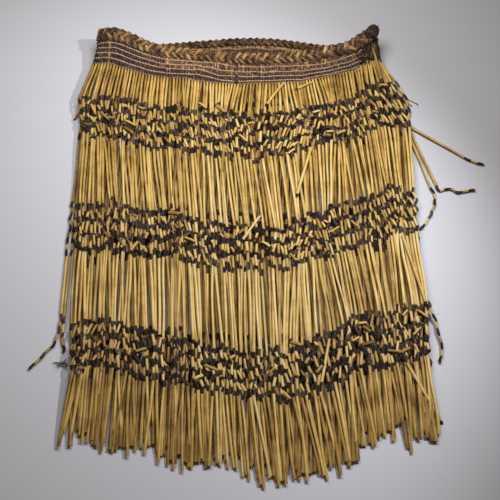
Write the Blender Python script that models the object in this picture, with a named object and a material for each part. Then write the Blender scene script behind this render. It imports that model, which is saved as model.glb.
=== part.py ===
"""A piupiu, a skirt of rolled flax strands on a twined waistband, laid flat on its back.

The waistband is a loop that lies closed on itself: its back run is flat on the floor, its front run
lies over it and sags towards the hem in the middle. A thick plait follows the band's top edge, and a
bound knot closes the loop at the right corner. The strands hang in two layers, front on back.

+X is the wearer's left, to the right of someone who looks at the front, +Y points up the skirt to the
waist and +Z is up. The origin is on the flat underside of the band's back run, at its middle.
Sizes are in millimetres until they become coordinates.
"""

import math

import bmesh
import bpy
import numpy as np

MM = 0.001
X_AXIS, Z_AXIS = np.array((1.0, 0.0, 0.0)), np.array((0.0, 0.0, 1.0))

# ---- driving dimensions, millimetres ----
BAND_DEPTH = 40.0
BAND_WALL = 2.4  # thickness of the twined band
WEFT_ROWS = 5  # rows of light weft across the band's depth
WEFT_EDGE = 2.2  # from the band's edge to the middle of the first row
WEFT_WIDTH = 3.2
WEFT_RISE = 0.9  # how far a row stands out of the band
PLAIT_WIDTH = 17.0  # across the plait, in the plane of the band
PLAIT_THICKNESS = 14.0
PLAIT_LOBE = 13.8  # from one lobe of the plait to the next on the same side
PLAIT_GROOVE = 0.16  # depth of the grooves between lobes, as a share of the radius
PLAIT_SLANT = 0.45  # how far the lobes slant along the plait, as a share of their pitch
PLAIT_SIDES = 8
LOBE_SECTIONS = 3
SEAM = 0.3  # gap between neighbouring pieces
ROOT_SEAM = 0.6  # gap between the band's edge and the strips that hold the strands
CORNER_GAP = 1.2  # gap between groups of strands at the corners, where the band turns
STRAND_LENGTH = 586.0
STRAND_WIDTH = 3.1
STRAND_HEIGHT = 3.4
STRAND_INSET = 0.3  # the strip's margin round a strand's root
STRIP_HEIGHT = STRAND_HEIGHT + 2 * STRAND_INSET
STRIP_DEPTH = 3.0  # depth of the strip that holds a group of roots together
STRIP_TILT = 0.4  # how much of the band's slope the strips follow
BACK_LAYER = 2.1  # height of the back strands' middles over the floor
FRONT_LAYER = 6.1  # and of the front strands'
SETTLE = 230.0  # length over which a strand comes down from the band to its layer
HEM_UNEVEN = 14.0  # spread of the strands' lengths

FRONT_GROUPS = 4
FRONT_STRANDS = 22  # in each group
BACK_GROUPS = 4
BACK_STRANDS = 23
CORNER_STRANDS = 2  # back strands rooted round each corner, on the strip of the stray ones
END_STRANDS = 8

# The front run of the band, from its right end to the left corner: its lower edge, where the strands
# are rooted, and the middle of the plait along its top edge.
#    root x,  root y, root z, plait x, plait y, plait z
FRONT_RUN = (
    (178.0, -23.0, 20.0, 187.0, 29.5, 36.0),
    (153.0, -28.0, 16.5, 154.0, 15.0, 25.5),
    (124.0, -33.0, 13.0, 124.0, 7.0, 19.5),
    (85.0, -40.0, 11.6, 85.0, 2.5, 16.5),
    (30.0, -44.5, 11.0, 30.0, -1.5, 16.0),
    (-20.0, -44.5, 11.0, -20.0, 1.0, 16.0),
    (-60.0, -41.0, 11.2, -60.0, 5.0, 16.0),
    (-100.0, -36.5, 12.0, -100.0, 8.5, 17.5),
    (-130.0, -33.0, 13.6, -130.0, 12.5, 21.5),
    (-161.0, -25.0, 16.5, -161.0, 22.5, 30.0),
    (-190.0, -14.5, 19.6, -184.0, 29.0, 35.6),
)
# The back run, from the left corner to the right one. It lies on the floor, so only the plait's own
# half thickness lifts its top edge.
#    x,  root y, plait y
BACK_RUN = (
    (-188.0, -19.5, 28.0),
    (-150.0, -24.5, 23.5),
    (-106.0, -23.0, 25.0),
    (-54.0, -17.5, 30.5),
    (0.0, -12.5, 35.5),
    (50.0, -13.5, 34.5),
    (90.0, -20.0, 28.0),
    (130.0, -26.5, 21.5),
    (165.0, -25.5, 22.5),
    (188.0, -20.5, 27.5),
)
BACK_ROOT_HEIGHT = BAND_WALL / 2
BACK_PLAIT_HEIGHT = 9.0
BACK_FLAT = 0.68  # share of the back run's depth that lies flat before it rises to the plait
BACK_RISE = 0.6  # share of the way up to the plait's middle that its top edge then reaches
INNER_LINES = (1.0, 0.9, 0.8, BACK_FLAT, 0.0)  # shares of the depth where the plain inside may bend

# The two rounded corners, as half turns: the middle and height of the top of each.
#              x of the turn, y, height at the top
LEFT_ROOTS = (-207.0, -12.5, 20.0)
LEFT_PLAIT = (-196.0, 29.5, 36.4)
RIGHT_ROOTS = (200.0, -11.5, 24.0)
RIGHT_PLAIT = (194.0, 28.0, 32.0)
CORNER_STEPS = 6
STATION_STEPS = 2  # steps of the smooth curve between two stations
TANGENT_STEP = 3.0  # the way along a line is taken over this far to each side
TURNED_END = (186.0, -13.0, 24.6, 196.0, 24.0, 36.0)  # the band's end, turned up over the right corner
PLAIT_END_TURN = 0.62  # share of the right corner's half turn that the back plait follows

KNOT_MIDDLE = (199.2, 33.0, 38.8)
KNOT_RADII = (12.0, 12.0, 9.0)
KNOT_WRAPS = 5
KNOT_WRAP_RISE = 0.06
KNOT_SEGMENTS = (16, 10)
GOLDEN_SHARE = 0.618034  # steps by this share of a whole spread values evenly without a pattern

# How far across the strands lie at each distance down their length. Between the edges they spread
# evenly, and then lean by the second table.
#    down, front left, front right, end left, end right, back left, back right
SPREAD = (
    (0.0, -214.0, 178.0, 187.0, 209.0, -214.0, 207.0),
    (50.0, -231.0, 180.0, 188.0, 229.0, -225.0, 221.0),
    (130.0, -226.0, 200.0, 207.0, 241.0, -222.0, 234.0),
    (234.0, -226.0, 202.0, 209.0, 242.0, -221.0, 236.0),
    (315.0, -219.0, 203.0, 210.0, 243.0, -215.0, 236.0),
    (412.0, -211.0, 207.0, 215.0, 247.0, -206.0, 240.0),
    (491.0, -206.0, 200.0, 207.0, 238.0, -201.0, 232.0),
    (586.0, -208.0, 205.0, 213.0, 244.0, -203.0, 236.0),
)
LEAN_AT = (0.0, 0.1, 0.25, 0.5, 0.7, 0.84, 0.92, 1.0)  # share of the way from left to right
#    down, lean to the right at each of those places
LEAN = (
    (0.0, (0.0, 0.0, 0.0, 0.0, 0.0, 0.0, 0.0, 0.0)),
    (50.0, (0.0, 0.0, 0.0, -11.0, -3.0, 0.0, 0.0, 0.0)),
    (130.0, (0.0, -6.0, -6.0, -9.0, -6.0, 4.0, -3.0, 0.0)),
    (234.0, (0.0, 7.0, 5.0, 1.0, 4.0, -6.0, 2.0, 0.0)),
    (315.0, (0.0, 2.0, -2.0, -2.0, 3.0, -5.0, -3.0, 0.0)),
    (412.0, (0.0, -3.0, -1.0, -1.0, -5.0, 6.0, 5.0, 0.0)),
    (491.0, (0.0, 2.0, 2.0, -4.0, -8.0, 0.0, -2.0, 0.0)),
    (586.0, (-6.0, 0.0, 1.0, 0.0, 5.0, 8.0, 6.0, 0.0)),
)
LENGTH_AT = (0.0, 0.05, 0.1, 0.16, 0.3, 0.5, 0.58, 0.79, 0.86, 0.93, 0.97, 1.0)
LONGER = (-11, -26, -13, -18, -13, -13, 1, -1, -20, -36, -18, -13)  # there, than STRAND_LENGTH
END_LONGER = -14.0
BACK_LEAN = -0.6  # the back strands lean the other way, and less
FRONT_BENDS = (50.0, 182.0, 300.0, 451.0, STRAND_LENGTH)  # where a front strand changes direction
BACK_BENDS = (90.0, 330.0, STRAND_LENGTH)

# The strands that lie clear of the skirt, as points on the floor that each passes after its root.
STRAYS_RIGHT = (
    ((243.0, -58.0), (249.0, -122.0), (322.0, -174.0), (349.0, -187.0)),
    ((237.0, -60.0), (246.0, -128.0), (275.0, -222.0), (303.0, -232.0), (334.0, -225.0)),
    ((231.0, -64.0), (241.0, -131.0), (268.0, -230.0), (270.0, -254.0), (246.0, -298.0)),
)
STRAYS_LEFT = (
    ((-229.0, -66.0), (-227.0, -146.0), (-224.0, -330.0), (-222.0, -436.0), (-219.0, -472.0)),
    ((-234.0, -64.0), (-232.0, -146.0), (-229.0, -330.0), (-229.0, -450.0), (-259.0, -497.0)),
)
STRAY_HEIGHT = 2.2
STRAY_ARC = 11.0  # length of band edge that each group of stray strands takes at a corner

# ---- colours: base colour, roughness ----
BAND_LOOK = ((0.085, 0.050, 0.032), 0.85)
PLAIT_LOOK = ((0.300, 0.165, 0.060), 0.80)
KNOT_LOOK = ((0.060, 0.042, 0.033), 0.85)
STRAND_LOOK = ((0.560, 0.380, 0.130), 0.60)


def clear_scene():
    for old in list(bpy.data.objects):
        bpy.data.objects.remove(old, do_unlink=True)


def material(name, look):
    colour, roughness = look
    made = bpy.data.materials.new(name)
    made.use_nodes = True
    shader = made.node_tree.nodes["Principled BSDF"]
    shader.inputs["Base Color"].default_value = (*colour, 1.0)
    shader.inputs["Roughness"].default_value = roughness
    shader.inputs["Metallic"].default_value = 0.0
    return made


def add_object(name, mesh, collection, look):
    """Closes a bmesh off as a named object, its faces turned outwards."""
    bmesh.ops.recalc_face_normals(mesh, faces=mesh.faces)
    if mesh.calc_volume(signed=True) < 0:
        bmesh.ops.reverse_faces(mesh, faces=mesh.faces)
    data = bpy.data.meshes.new(name)
    mesh.to_mesh(data)
    mesh.free()
    data.materials.append(look)
    made = bpy.data.objects.new(name, data)
    collection.objects.link(made)
    return made


def unit(vector):
    return vector / np.linalg.norm(vector)


def smooth_step(share):
    share = min(max(share, 0.0), 1.0)
    return share * share * (3.0 - 2.0 * share)


def curve_through(points, per_span):
    """A smooth curve through the points, with per_span steps between each pair (Catmull-Rom)."""
    points = np.asarray(points, float)
    before = np.vstack([2 * points[0] - points[1], points, 2 * points[-1] - points[-2]])
    found = []
    for i in range(len(points) - 1):
        a, b, c, d = before[i : i + 4]
        for step in range(per_span):
            t = step / per_span
            found.append(
                0.5 * (2 * b + (c - a) * t + (2 * a - 5 * b + 4 * c - d) * t**2)
                + 0.5 * (3 * b - a - 3 * c + d) * t**3
            )
    found.append(points[-1])
    return np.array(found)


def lengths_along(line):
    steps = np.linalg.norm(np.diff(line, axis=0), axis=1)
    return np.concatenate([[0.0], np.cumsum(steps)])


def point_on(line, lengths, at):
    """The point this far along a line of points, whose own lengths along it are given."""
    return np.array([np.interp(at, lengths, line[: len(lengths), k]) for k in range(3)])


# ---- the loop that the waistband and the plait follow ----


def half_turn(top, bottom_height, side, share):
    """A point on a corner's half turn, from its top (share 0) round to its bottom (share 1)."""
    x, y, top_height = top
    radius = (top_height - bottom_height) / 2
    angle = math.pi * share
    return (
        x + side * radius * math.sin(angle),
        y,
        top_height - radius + radius * math.cos(angle),
    )


def waist_stations():
    """Stations round the loop, from the front run's right end to the turned end.

    Each row holds the root line's point, the plait's middle and how far the band lies on the floor
    there, from 0 on the front run to 1 on the back run.
    """
    rows = [(*row, 0.0) for row in FRONT_RUN]
    for step in range(1, CORNER_STEPS):
        share = step / CORNER_STEPS
        root = half_turn(LEFT_ROOTS, BACK_ROOT_HEIGHT, -1, share)
        plait = half_turn(LEFT_PLAIT, BACK_PLAIT_HEIGHT, -1, share)
        rows.append((*root, *plait, smooth_step(share)))
    for x, root_y, plait_y in BACK_RUN:
        rows.append((x, root_y, BACK_ROOT_HEIGHT, x, plait_y, BACK_PLAIT_HEIGHT, 1.0))
    for step in range(1, CORNER_STEPS):
        share = 1 - step / CORNER_STEPS
        root = half_turn(RIGHT_ROOTS, BACK_ROOT_HEIGHT, 1, share)
        plait = half_turn(RIGHT_PLAIT, BACK_PLAIT_HEIGHT, 1, share)
        rows.append((*root, *plait, smooth_step(share)))
    rows.append((*TURNED_END, 0.0))
    return np.array(rows)


class Waist:
    """The loop's root line and plait line, and the frame of the band between them."""

    def __init__(self):
        rows = curve_through(waist_stations(), STATION_STEPS)
        self.root, self.plait, lies = rows[:, 0:3], rows[:, 3:6], rows[:, 6]
        self.lies = np.clip(lies, 0.0, 1.0)
        on_floor = self.lies > 0.999
        self.root[on_floor, 2] = BACK_ROOT_HEIGHT
        self.plait[on_floor, 2] = BACK_PLAIT_HEIGHT
        self.length = lengths_along(self.root)
        self.along = [unit(step) for step in np.gradient(self.plait, axis=0)]
        self.across = []
        for plait, root, along in zip(self.plait, self.root, self.along):
            up = plait - root
            self.across.append(unit(up - along * (along @ up)))

    def lies_at(self, length):
        return np.interp(length, self.length, self.lies)

    def at(self, length):
        """The root line's point there, the band's way along and its way down to the hem."""
        root = point_on(self.root, self.length, length)
        ahead = point_on(self.root, self.length, length + TANGENT_STEP)
        along = unit(ahead - point_on(self.root, self.length, length - TANGENT_STEP))
        down = root - point_on(self.plait, self.length, length)
        down[2] *= STRIP_TILT * (1 - self.lies_at(length))
        return root, along, unit(down - along * (down @ along))

    def band_point(self, i, depth):
        """A point of the band's middle surface at station i, this share of the way up its depth."""
        root = self.root[i]
        top = self.plait[i] - self.across[i] * (PLAIT_WIDTH / 2 + SEAM)
        point = root + (top - root) * depth
        rise = BACK_RISE * max(0.0, (depth - BACK_FLAT) / (1 - BACK_FLAT)) ** 2
        lies = self.lies[i]
        point[2] = root[2] + (top[2] - root[2]) * ((1 - lies) * depth + lies * rise)
        return point


def weft_profile():
    """The band's outer side: how far up its depth each line lies, and how far out it stands."""
    pitch = (BAND_DEPTH - 2 * WEFT_EDGE) / (WEFT_ROWS - 1)
    lines = [(0.0, 0.0)]
    for row in range(WEFT_ROWS):
        middle = WEFT_EDGE + pitch * row
        lines.append(((middle - WEFT_WIDTH / 2) / BAND_DEPTH, 0.0))
        lines.append((middle / BAND_DEPTH, WEFT_RISE))
        lines.append(((middle + WEFT_WIDTH / 2) / BAND_DEPTH, 0.0))
    lines.append((1.0, 0.0))
    return lines


def loft(rings):
    """A closed solid through rings of equally many points, capped at both ends."""
    mesh = bmesh.new()
    rows = [[mesh.verts.new(np.asarray(point) * MM) for point in ring] for ring in rings]
    count = len(rows[0])
    for one, two in zip(rows, rows[1:]):
        for k in range(count):
            mesh.faces.new((one[k], one[(k + 1) % count], two[(k + 1) % count], two[k]))
    mesh.faces.new(rows[0])
    mesh.faces.new(list(reversed(rows[-1])))
    return mesh


def band_ring(waist, i):
    """The band's section at station i: up its outer side, over the weft rows, and down its inside."""
    count = len(waist.root)
    along = unit(waist.root[min(i + 1, count - 1)] - waist.root[max(i - 1, 0)])

    def offset(depth, distance):
        low, high = max(depth - 0.02, 0.0), min(depth + 0.02, 1.0)
        up = waist.band_point(i, high) - waist.band_point(i, low)
        return waist.band_point(i, depth) + unit(np.cross(up, along)) * distance

    ring = []
    for depth, rise in weft_profile():
        ring.append(offset(depth, BAND_WALL / 2 + rise * (1 - waist.lies[i])))
    for depth in INNER_LINES:
        ring.append(offset(depth, -BAND_WALL / 2))
    return ring


def waistband(waist, collection):
    rings = [band_ring(waist, i) for i in range(len(waist.root))]
    add_object("waistband", loft(rings), collection, material("twined band", BAND_LOOK))


def plait_radius(angle, length):
    """Share of the plait's full radius: lobes slope away from the middle in a herringbone."""
    across = math.cos(angle)
    half_step = 0.5 if across < 0 else 0.0
    phase = length / PLAIT_LOBE + half_step + PLAIT_SLANT * abs(across)
    return 1 - PLAIT_GROOVE * (0.5 - 0.5 * math.cos(2 * math.pi * phase))


def waist_plait(waist, collection):
    left_out = round(CORNER_STEPS * STATION_STEPS * (1 - PLAIT_END_TURN))
    line = waist.plait[: len(waist.plait) - left_out]
    ways = np.array(waist.across)
    length = lengths_along(line)
    sections = round(length[-1] / PLAIT_LOBE * LOBE_SECTIONS)
    rings = []
    for s in np.linspace(0.0, length[-1], sections + 1):
        middle = point_on(line, length, s)
        ahead = point_on(line, length, s + TANGENT_STEP)
        along = unit(ahead - point_on(line, length, s - TANGENT_STEP))
        across = point_on(ways, length, s)
        across = unit(across - along * (across @ along))
        out = np.cross(across, along)
        ring = []
        for k in range(PLAIT_SIDES):
            angle = 2 * math.pi * (k + 0.5) / PLAIT_SIDES
            share = plait_radius(angle, s)
            sideways = across * math.cos(angle) * share * PLAIT_WIDTH / 2
            ring.append(middle + sideways + out * math.sin(angle) * share * PLAIT_THICKNESS / 2)
        rings.append(ring)
    add_object("waist_plait", loft(rings), collection, material("plait", PLAIT_LOOK))


def tie_knot(collection):
    """The bound, blunt end of the plait, over the right corner."""
    mesh = bmesh.new()
    across, down = KNOT_SEGMENTS
    bmesh.ops.create_uvsphere(mesh, u_segments=across, v_segments=down, radius=1.0)
    for vert in mesh.verts:
        wrap = 1 + KNOT_WRAP_RISE * math.cos(2 * math.pi * KNOT_WRAPS * vert.co.y / 2)
        vert.co = [
            (middle + co * radius * wrap) * MM
            for middle, co, radius in zip(KNOT_MIDDLE, vert.co, KNOT_RADII)
        ]
    add_object("tie_knot", mesh, collection, material("bound fibre", KNOT_LOOK))


# ---- the strands ----


def interpolate(rows, column, down):
    return np.interp(down, [row[0] for row in rows], [row[column] for row in rows])


def lean_at(share, down):
    values = [np.interp(share, LEAN_AT, leans) for _, leans in LEAN]
    return np.interp(down, [row[0] for row in LEAN], values)


def place_across(layer, share, down):
    left, right = {"front": (1, 2), "end": (3, 4), "back": (5, 6)}[layer]
    low, high = (interpolate(SPREAD, column, down) for column in (left, right))
    lean = {"front": 1.0, "end": 0.0, "back": BACK_LEAN}[layer]
    return low + (high - low) * share + lean * lean_at(share, down)


def strand_route(layer, share, root, bends, index):
    """The middles of a strand's sections, from below its root to its end at the hem."""
    rest = BACK_LAYER if layer == "back" else FRONT_LAYER
    uneven = (index * GOLDEN_SHARE % 1.0 - 0.5) * HEM_UNEVEN
    longer = END_LONGER if layer == "end" else np.interp(share, LENGTH_AT, LONGER)
    points = []
    last = np.array(root)
    gone = 0.0
    for bend in bends:
        down = bend + (uneven + longer if bend == bends[-1] else 0.0)
        x = place_across(layer, share, down)
        z = rest + (root[2] - rest) * (1 - smooth_step(down / SETTLE))
        z = max(z, rest)
        flat = math.hypot(x - last[0], z - last[2])
        y = last[1] - math.sqrt(max((down - gone) ** 2 - flat**2, 1.0))
        last = np.array((x, y, z))
        gone = down
        points.append(last)
    return points


def rectangle(middle, wide, high, width, height):
    """Four corners round a section's middle."""
    return [
        middle + wide * (a * width / 2) + high * (b * height / 2)
        for a, b in ((-1, -1), (1, -1), (1, 1), (-1, 1))
    ]


def strip_section(waist, length, from_left):
    """The strip's four corners at a place along the root line, and its ways across and up."""
    root, along, down = waist.at(length)
    wide = along if from_left else -along
    high = np.cross(down, wide)
    top = root + down * ROOT_SEAM
    top[2] += (STRIP_HEIGHT / 2 - BACK_ROOT_HEIGHT) * waist.lies_at(length)
    low = top + down * STRIP_DEPTH
    half = high * STRIP_HEIGHT / 2
    return (top - half, low - half, low + half, top + half), wide, high


def strand_sections(one, two, route):
    """A strand's rectangles, from its root between two strip sections to its end."""
    middle = sum(corners[k] for corners in (one[0], two[0]) for k in (1, 2)) / 4
    cell = np.linalg.norm(two[0][1] + two[0][2] - one[0][1] - one[0][2]) / 2
    width = min(STRAND_WIDTH, cell - 2 * STRAND_INSET)
    sections = [rectangle(middle, unit(one[1] + two[1]), unit(one[2] + two[2]), width, STRAND_HEIGHT)]
    for point in route(middle):
        sections.append(rectangle(point, X_AXIS, Z_AXIS, width, STRAND_HEIGHT))
    return sections


def fringe(name, waist, lengths, routes, collection, look, from_left):
    """A narrow strip under the band's edge with a strand drawn out of each of its cells.

    lengths are the places of the cells' borders along the root line, and routes(i, root) gives the
    middles of strand i's sections.
    """
    borders = [strip_section(waist, length, from_left) for length in lengths]
    mesh = bmesh.new()
    rows = [[mesh.verts.new(point * MM) for point in corners] for corners, _, _ in borders]
    for one, two in zip(rows, rows[1:]):
        for k in (0, 2, 3):
            after = (k + 1) % 4
            mesh.faces.new((one[k], one[after], two[after], two[k]))
    mesh.faces.new(rows[0])
    mesh.faces.new(list(reversed(rows[-1])))
    for i in range(len(rows) - 1):
        sections = strand_sections(borders[i], borders[i + 1], lambda root: routes(i, root))
        rings = [[rows[i][1], rows[i + 1][1], rows[i + 1][2], rows[i][2]]]
        rings += [[mesh.verts.new(point * MM) for point in section] for section in sections]
        for one, two in zip(rings, rings[1:]):
            for k in range(4):
                after = (k + 1) % 4
                mesh.faces.new((one[k], one[after], two[after], two[k]))
        mesh.faces.new(rings[-1])
    add_object(name, mesh, collection, look)


def layer_routes(layer, first, count, bends):
    """Routes for a group of a layer's strands: first is the group's first one, of count in all."""

    def route(i, root):
        number = first + i
        return strand_route(layer, (number + 0.5) / count, root, bends, number)

    return route


def corner_fringe(name, waist, stray_ends, strays, flat_end, numbers, collection, look):
    """A corner's strip: stray strands round its middle, then back strands down to the flat run.

    stray_ends and flat_end are places along the root line, and numbers the back strands' places in
    their layer, from the strays outwards.
    """
    count = BACK_GROUPS * BACK_STRANDS + 2 * CORNER_STRANDS
    back = layer_routes("back", 0, count, BACK_BENDS)
    routes = [
        lambda root, points=points: [np.array((x, y, STRAY_HEIGHT)) for x, y in points]
        for points in strays
    ]
    routes += [lambda root, number=number: back(number, root) for number in numbers]
    cells = list(np.linspace(*stray_ends, len(strays) + 1))
    cells += list(np.linspace(stray_ends[1], flat_end, len(numbers) + 1))[1:]
    if cells[0] < cells[-1]:
        cells.reverse()
        routes.reverse()
    fringe(name, waist, cells, lambda i, root: routes[i](root), collection, look, False)


def fringes(waist, collection):
    look = material("rolled flax", STRAND_LOOK)
    corner = CORNER_STEPS * STATION_STEPS
    left_mid = waist.length[(len(FRONT_RUN) - 1) * STATION_STEPS + corner // 2]
    right_mid = waist.length[-1 - corner // 2]
    half = STRAY_ARC / 2

    count = FRONT_GROUPS * FRONT_STRANDS
    edges = np.linspace(left_mid - half, waist.length[0] + SEAM, FRONT_GROUPS + 1)
    for group in range(FRONT_GROUPS):
        cells = np.linspace(edges[group] - SEAM, edges[group + 1] + SEAM, FRONT_STRANDS + 1)
        routes = layer_routes("front", group * FRONT_STRANDS, count, FRONT_BENDS)
        fringe(f"fringe_front_{group + 1}", waist, cells, routes, collection, look, False)

    cells = np.linspace(waist.length[-1], right_mid + half, END_STRANDS + 1)
    routes = layer_routes("end", 0, END_STRANDS, FRONT_BENDS)
    fringe("fringe_end", waist, cells, routes, collection, look, False)

    count = BACK_GROUPS * BACK_STRANDS + 2 * CORNER_STRANDS
    flat_left = waist.length[(len(FRONT_RUN) - 1) * STATION_STEPS + corner]
    flat_right = waist.length[-1 - corner]
    edges = np.linspace(flat_left, flat_right, BACK_GROUPS + 1)
    for group in range(BACK_GROUPS):
        cells = np.linspace(edges[group] + SEAM, edges[group + 1] - SEAM, BACK_STRANDS + 1)
        first = CORNER_STRANDS + group * BACK_STRANDS
        routes = layer_routes("back", first, count, BACK_BENDS)
        fringe(f"fringe_back_{group + 1}", waist, cells, routes, collection, look, True)

    arc = half - CORNER_GAP / 2
    ends = (left_mid - arc, left_mid + arc)
    numbers = range(CORNER_STRANDS)
    corner_fringe(
        "fringe_stray_left", waist, ends, STRAYS_LEFT[::-1], flat_left - SEAM, numbers, collection, look
    )
    ends = (right_mid + arc, right_mid - arc)
    numbers = range(count - 1, count - 1 - CORNER_STRANDS, -1)
    corner_fringe(
        "fringe_stray_right", waist, ends, STRAYS_RIGHT, flat_right + SEAM, numbers, collection, look
    )


def main():
    clear_scene()
    collection = bpy.data.collections.new("piupiu")
    bpy.context.scene.collection.children.link(collection)
    waist = Waist()
    waistband(waist, collection)
    waist_plait(waist, collection)
    tie_knot(collection)
    fringes(waist, collection)


main()
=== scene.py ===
# %% [markdown]
# # A piupiu, laid flat
#
# A piupiu is a skirt of flax leaf. Each hanging strand is one strip of leaf that curled into a tube as
# it dried. At a few places the green was scraped off first, so that only the inner fibre was left, and
# a bath in dark mud dyed that fibre black. The ends of the fibres are twined into a narrow waistband,
# and a thick plait finishes its top edge.
#
# We build it in that order: the loop of the waist, the twined band, the plait, the bound knot, and then
# the strands, which are stacked on each other as they would be if they were laid down one by one.

import math

import bpy
import numpy as np
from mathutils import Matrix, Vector


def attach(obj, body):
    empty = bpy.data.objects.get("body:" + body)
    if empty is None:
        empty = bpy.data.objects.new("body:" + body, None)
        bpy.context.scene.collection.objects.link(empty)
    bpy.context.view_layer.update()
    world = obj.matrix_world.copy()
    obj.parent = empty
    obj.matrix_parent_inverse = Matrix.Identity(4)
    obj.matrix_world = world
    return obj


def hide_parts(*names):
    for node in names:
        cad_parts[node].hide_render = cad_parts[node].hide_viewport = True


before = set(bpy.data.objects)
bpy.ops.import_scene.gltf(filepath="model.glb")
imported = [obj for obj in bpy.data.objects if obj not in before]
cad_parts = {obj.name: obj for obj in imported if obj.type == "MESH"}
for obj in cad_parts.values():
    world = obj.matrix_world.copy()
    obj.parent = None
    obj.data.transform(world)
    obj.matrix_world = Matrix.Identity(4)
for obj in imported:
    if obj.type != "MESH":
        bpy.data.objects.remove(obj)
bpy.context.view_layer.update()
MM = 0.001
UP = np.array((0.0, 0.0, 1.0))
chance = np.random.default_rng(7)
print("the frame holds", len(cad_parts), "pieces")

# %% [markdown]
# ## The camera
#
# The skirt lies on a pale floor and is seen from 60 degrees above the hem. The camera looks at a point
# in the middle of the skirt. A long lens keeps the hem and the waist at nearly the same scale.

# %% Camera
LOOK_AT = np.array((16.0, -324.0, 0.0))
CAMERA_ELEVATION = 60.0
CAMERA_DISTANCE = 1216.0
LENS = 65.4


def aim(thing, place, target):
    """Puts a camera or a lamp at a place, so that it faces the target. Both are in millimetres."""
    thing.location = Vector(place) * MM
    thing.rotation_mode = "QUATERNION"
    thing.rotation_quaternion = Vector(target - np.asarray(place)).to_track_quat("-Z", "Y")


tilt = math.radians(CAMERA_ELEVATION)
camera_place = LOOK_AT + CAMERA_DISTANCE * np.array((0.0, -math.cos(tilt), math.sin(tilt)))
camera = bpy.data.objects.new("camera", bpy.data.cameras.new("camera"))
bpy.context.scene.collection.objects.link(camera)
camera.data.lens = LENS
aim(camera, camera_place, LOOK_AT)
bpy.context.scene.camera = camera
print("camera at", np.round(camera_place))

# %% [markdown]
# ## Floor and light
#
# Two lamps hang close above the floor, so the light falls off towards the hem and the corners. A broad
# one hangs over the waist. The key is a small soft-edged spot to the right. It gives the crisp shadow to
# the left of the raised waist, and leaves the far right corner darker. The room adds very little, which
# keeps the gaps between the strands deep. The plain colour transform keeps straw yellow as it is.

# %% Floor and light
FLOOR_COLOUR, FLOOR_ROUGHNESS = (0.62, 0.608, 0.62), 0.75
FLOOR_HALF, FLOOR_DROP = 12000.0, 0.4
ROOM_COLOUR = (1.0, 0.78, 0.52)
ROOM_STRENGTH = 0.082
KEY_PLACE, KEY_TARGET = (430.0, -172.0, 654.0), (-239.0, -428.0, 0.0)
KEY_HALF_ANGLE, KEY_BLEND = 43.8, 0.72
KEY_RADIUS, KEY_POWER = 22.0, 18.2
KEY_COLOUR, FILL_COLOUR = (0.874, 0.909, 1.0), (0.945, 0.963, 1.0)
FILL_PLACE, FILL_TARGET = (-35.0, -19.0, 626.0), (-35.0, -18.0, 0.0)
FILL_SIZE, FILL_POWER = 400.0, 3.85


def lamp(name, kind, place, target, power, colour, **shape):
    data = bpy.data.lights.new(name, kind)
    data.energy, data.color = power, colour
    for key, value in shape.items():
        setattr(data, key, value)
    made = bpy.data.objects.new(name, data)
    bpy.context.scene.collection.objects.link(made)
    aim(made, place, np.asarray(target))


world = bpy.context.scene.world or bpy.data.worlds.new("room")
bpy.context.scene.world = world
world.use_nodes = True
world.node_tree.nodes["Background"].inputs["Color"].default_value = (*ROOM_COLOUR, 1.0)
world.node_tree.nodes["Background"].inputs["Strength"].default_value = ROOM_STRENGTH
bpy.context.scene.view_settings.view_transform = "Standard"

square = np.array([(-1, -1, 0), (1, -1, 0), (1, 1, 0), (-1, 1, 0)]) * FLOOR_HALF
floor_mesh = bpy.data.meshes.new("floor")
floor_mesh.from_pydata((square - (0.0, 0.0, FLOOR_DROP)) * MM, [], [range(4)])
floor = bpy.data.objects.new("floor", floor_mesh)
bpy.context.scene.collection.objects.link(floor)
cone = {
    "spot_size": math.radians(2 * KEY_HALF_ANGLE),
    "spot_blend": KEY_BLEND,
    "shadow_soft_size": KEY_RADIUS * MM,
}
lamp("key", "SPOT", KEY_PLACE, KEY_TARGET, KEY_POWER, KEY_COLOUR, **cone)
lamp("fill", "AREA", FILL_PLACE, FILL_TARGET, FILL_POWER, FILL_COLOUR, size=FILL_SIZE * MM)
print("floor and two lamps")

# %% [markdown]
# ## Materials
#
# Everything here is plant fibre, so every finish has streaks that run along the fibre. They come from
# one shader node group, *long fibre*. It reads a UV map, *Grain*, that each mesh carries: across the
# fibre in one direction and along it in the other, both in millimetres, so a streak is as wide on a
# tube as on a thread. A second group, *age marks*, gives larger soft patches through the whole object.

# %% Node helpers


def put(tree, kind, inputs=None, **properties):
    """Adds a node. inputs gives, for an input's name or number, its value or the output that feeds it."""
    made = tree.nodes.new(kind)
    for key, value in properties.items():
        setattr(made, key, value)
    for key, value in (inputs or {}).items():
        if isinstance(value, bpy.types.NodeSocket):
            tree.links.new(value, made.inputs[key])
        else:
            made.inputs[key].default_value = value
    return made


def reckon(tree, operation, *terms, clamp=False):
    """The result of a math node. Each term is a number, or the output of another node."""
    made = put(tree, "ShaderNodeMath", dict(enumerate(terms)), operation=operation, use_clamp=clamp)
    return made.outputs[0]


def new_group(name, inputs, output):
    """A node group: its tree, the sockets that its inputs come from, and the one that its result goes to."""
    tree = bpy.data.node_groups.new(name, "ShaderNodeTree")
    for label, value in inputs.items():
        socket = tree.interface.new_socket(label, in_out="INPUT", socket_type="NodeSocketFloat")
        socket.default_value = value
    tree.interface.new_socket(output, in_out="OUTPUT", socket_type="NodeSocketFloat")
    return tree, put(tree, "NodeGroupInput").outputs, put(tree, "NodeGroupOutput").inputs[output]


# %% [markdown]
# The first group draws a noise out along the Grain map, so that it becomes streaks. A scan of real leaf
# could give them too, but a noise needs no file and never repeats. The second keeps only the high parts
# of a coarse noise, and these are the patches.

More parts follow.
